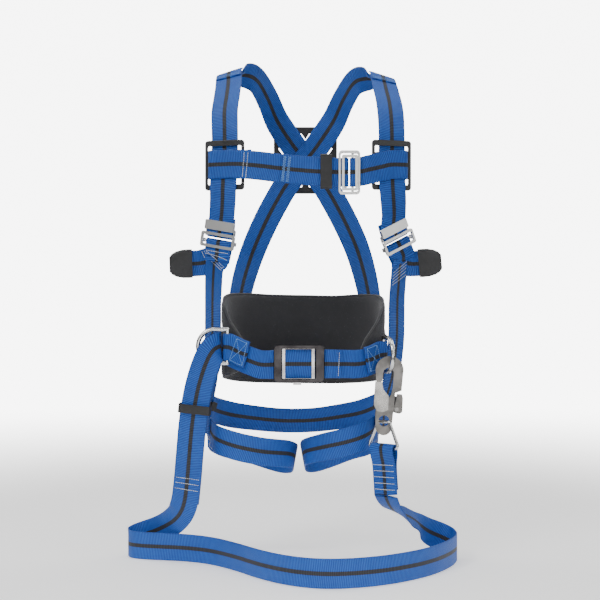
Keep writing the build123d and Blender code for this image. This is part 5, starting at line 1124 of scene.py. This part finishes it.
# ------------------------------------------------------------------ floor and light
def plane_mesh(name, verts, faces, mat):
    me = bpy.data.meshes.new(name)
    me.from_pydata(verts, [], faces)
    for p in me.polygons:
        p.use_smooth = True
    me.materials.append(mat)
    ob = bpy.data.objects.new(name, me)
    scene.collection.objects.link(ob)
    return ob


m_floor, nt, b = new_mat("pale_floor")
b.inputs["Base Color"].default_value = (0.9, 0.9, 0.9, 1)
b.inputs["Roughness"].default_value = 0.7
b.inputs["Emission Color"].default_value = (1, 1, 1, 1)
b.inputs["Emission Strength"].default_value = 0.45
N_ROUND = 48
fv = [(0.0, 0.0, -0.3301)]
ff = []
prof = [(0.4, 0.0), (0.75, 0.0)]
for i, (r, h) in enumerate(prof):
    for k in range(N_ROUND):
        a = 2 * pi * k / N_ROUND
        fv.append((r * cos(a), r * sin(a), h - 0.3301))
    for k in range(N_ROUND):
        k2 = (k + 1) % N_ROUND
        if i == 0:
            ff.append((0, 1 + k, 1 + k2))
        else:
            ff.append((1 + (i - 1) * N_ROUND + k, 1 + i * N_ROUND + k, 1 + i * N_ROUND + k2, 1 + (i - 1) * N_ROUND + k2))
floor = plane_mesh("studio_floor", fv, ff, m_floor)
floor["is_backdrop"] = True

# pale surround behind every view, with no part in lighting the harness
m_wall, nt, b = new_mat("pale_wall")
b.inputs["Base Color"].default_value = (0.9, 0.9, 0.9, 1)
b.inputs["Roughness"].default_value = 0.7
geo = nt.nodes.new("ShaderNodeNewGeometry")
flat = nt.nodes.new("ShaderNodeVectorMath")
flat.operation = "MULTIPLY"
flat.inputs[1].default_value = (1, 1, 0)
nt.links.new(geo.outputs["Position"], flat.inputs[0])
away = nt.nodes.new("ShaderNodeVectorMath")
away.operation = "LENGTH"
nt.links.new(flat.outputs[0], away.inputs[0])
glow = nt.nodes.new("ShaderNodeMapRange")
glow.interpolation_type = "SMOOTHSTEP"
glow.inputs[1].default_value = 0.75
glow.inputs[2].default_value = 3.2
glow.inputs[3].default_value = 0.45 / 7.0
glow.inputs[4].default_value = 1.0
nt.links.new(away.outputs["Value"], glow.inputs[0])
nt.links.new(glow.outputs[0], b.inputs["Emission Color"])
b.inputs["Emission Strength"].default_value = 7.0
fv = []
ff = []
prof = [(0.75, 0.0), (2.0, 0.0), (3.5, 0.0), (4.8, 0.05), (5.4, 0.3), (5.8, 0.9), (6.0, 1.8), (6.0, 7.0)]
for i, (r, h) in enumerate(prof):
    for k in range(N_ROUND):
        a = 2 * pi * k / N_ROUND
        fv.append((r * cos(a), r * sin(a), h - 0.3301))
    if i:
        for k in range(N_ROUND):
            k2 = (k + 1) % N_ROUND
            ff.append(((i - 1) * N_ROUND + k, i * N_ROUND + k, i * N_ROUND + k2, (i - 1) * N_ROUND + k2))
wall = plane_mesh("studio_wall", fv, ff, m_wall)
wall.visible_diffuse = False
wall.visible_glossy = False
wall.visible_transmission = False
wall.visible_shadow = False
wall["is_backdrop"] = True


def area(name, loc, target, size, power, col=(1, 1, 1)):
    l = bpy.data.lights.new(name, "AREA")
    l.shape = "RECTANGLE"
    l.size, l.size_y = size
    l.energy = power
    l.color = col
    o = bpy.data.objects.new(name, l)
    scene.collection.objects.link(o)
    o.location = loc
    o.rotation_euler = (Vector(target) - Vector(loc)).to_track_quat("-Z", "Y").to_euler()
    return o


area("key", (-1.4, -1.7, 1.7), (0, 0, 0.05), (0.9, 0.9), 34)
area("fill", (1.9, -1.5, 0.7), (0, 0, 0.0), (0.8, 1.6), 13)
area("rim_right", (1.5, 0.9, 1.0), (0, 0, 0.1), (0.5, 1.4), 14)
area("rim_left", (-1.5, 0.8, 0.9), (0, 0, 0.1), (0.5, 1.4), 12)
area("top", (0, -0.1, 2.0), (0, 0, 0), (1.2, 1.2), 18)
area("front_low", (0.0, -1.6, -0.12), (0, -0.15, -0.28), (1.5, 0.3), 5.5)
area("front_soft", (0.1, -2.7, 0.45), (0, 0, 0.2), (1.6, 1.0), 5)
world = bpy.data.worlds.new("studio")
scene.world = world
world.use_nodes = True
wn = world.node_tree
bg = wn.nodes["Background"]
tc = wn.nodes.new("ShaderNodeTexCoord")
sep = wn.nodes.new("ShaderNodeSeparateXYZ")
wn.links.new(tc.outputs["Generated"], sep.inputs[0])
mr = wn.nodes.new("ShaderNodeMapRange")
mr.interpolation_type = "SMOOTHSTEP"
wn.links.new(sep.outputs[2], mr.inputs[0])
mr.inputs[1].default_value = -0.15
mr.inputs[2].default_value = 0.85
mr.inputs[3].default_value = 0.30
mr.inputs[4].default_value = 1.0
wn.links.new(mr.outputs[0], bg.inputs[0])
bg.inputs[1].default_value = 0.42

bpy.context.view_layer.update()
lo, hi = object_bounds()
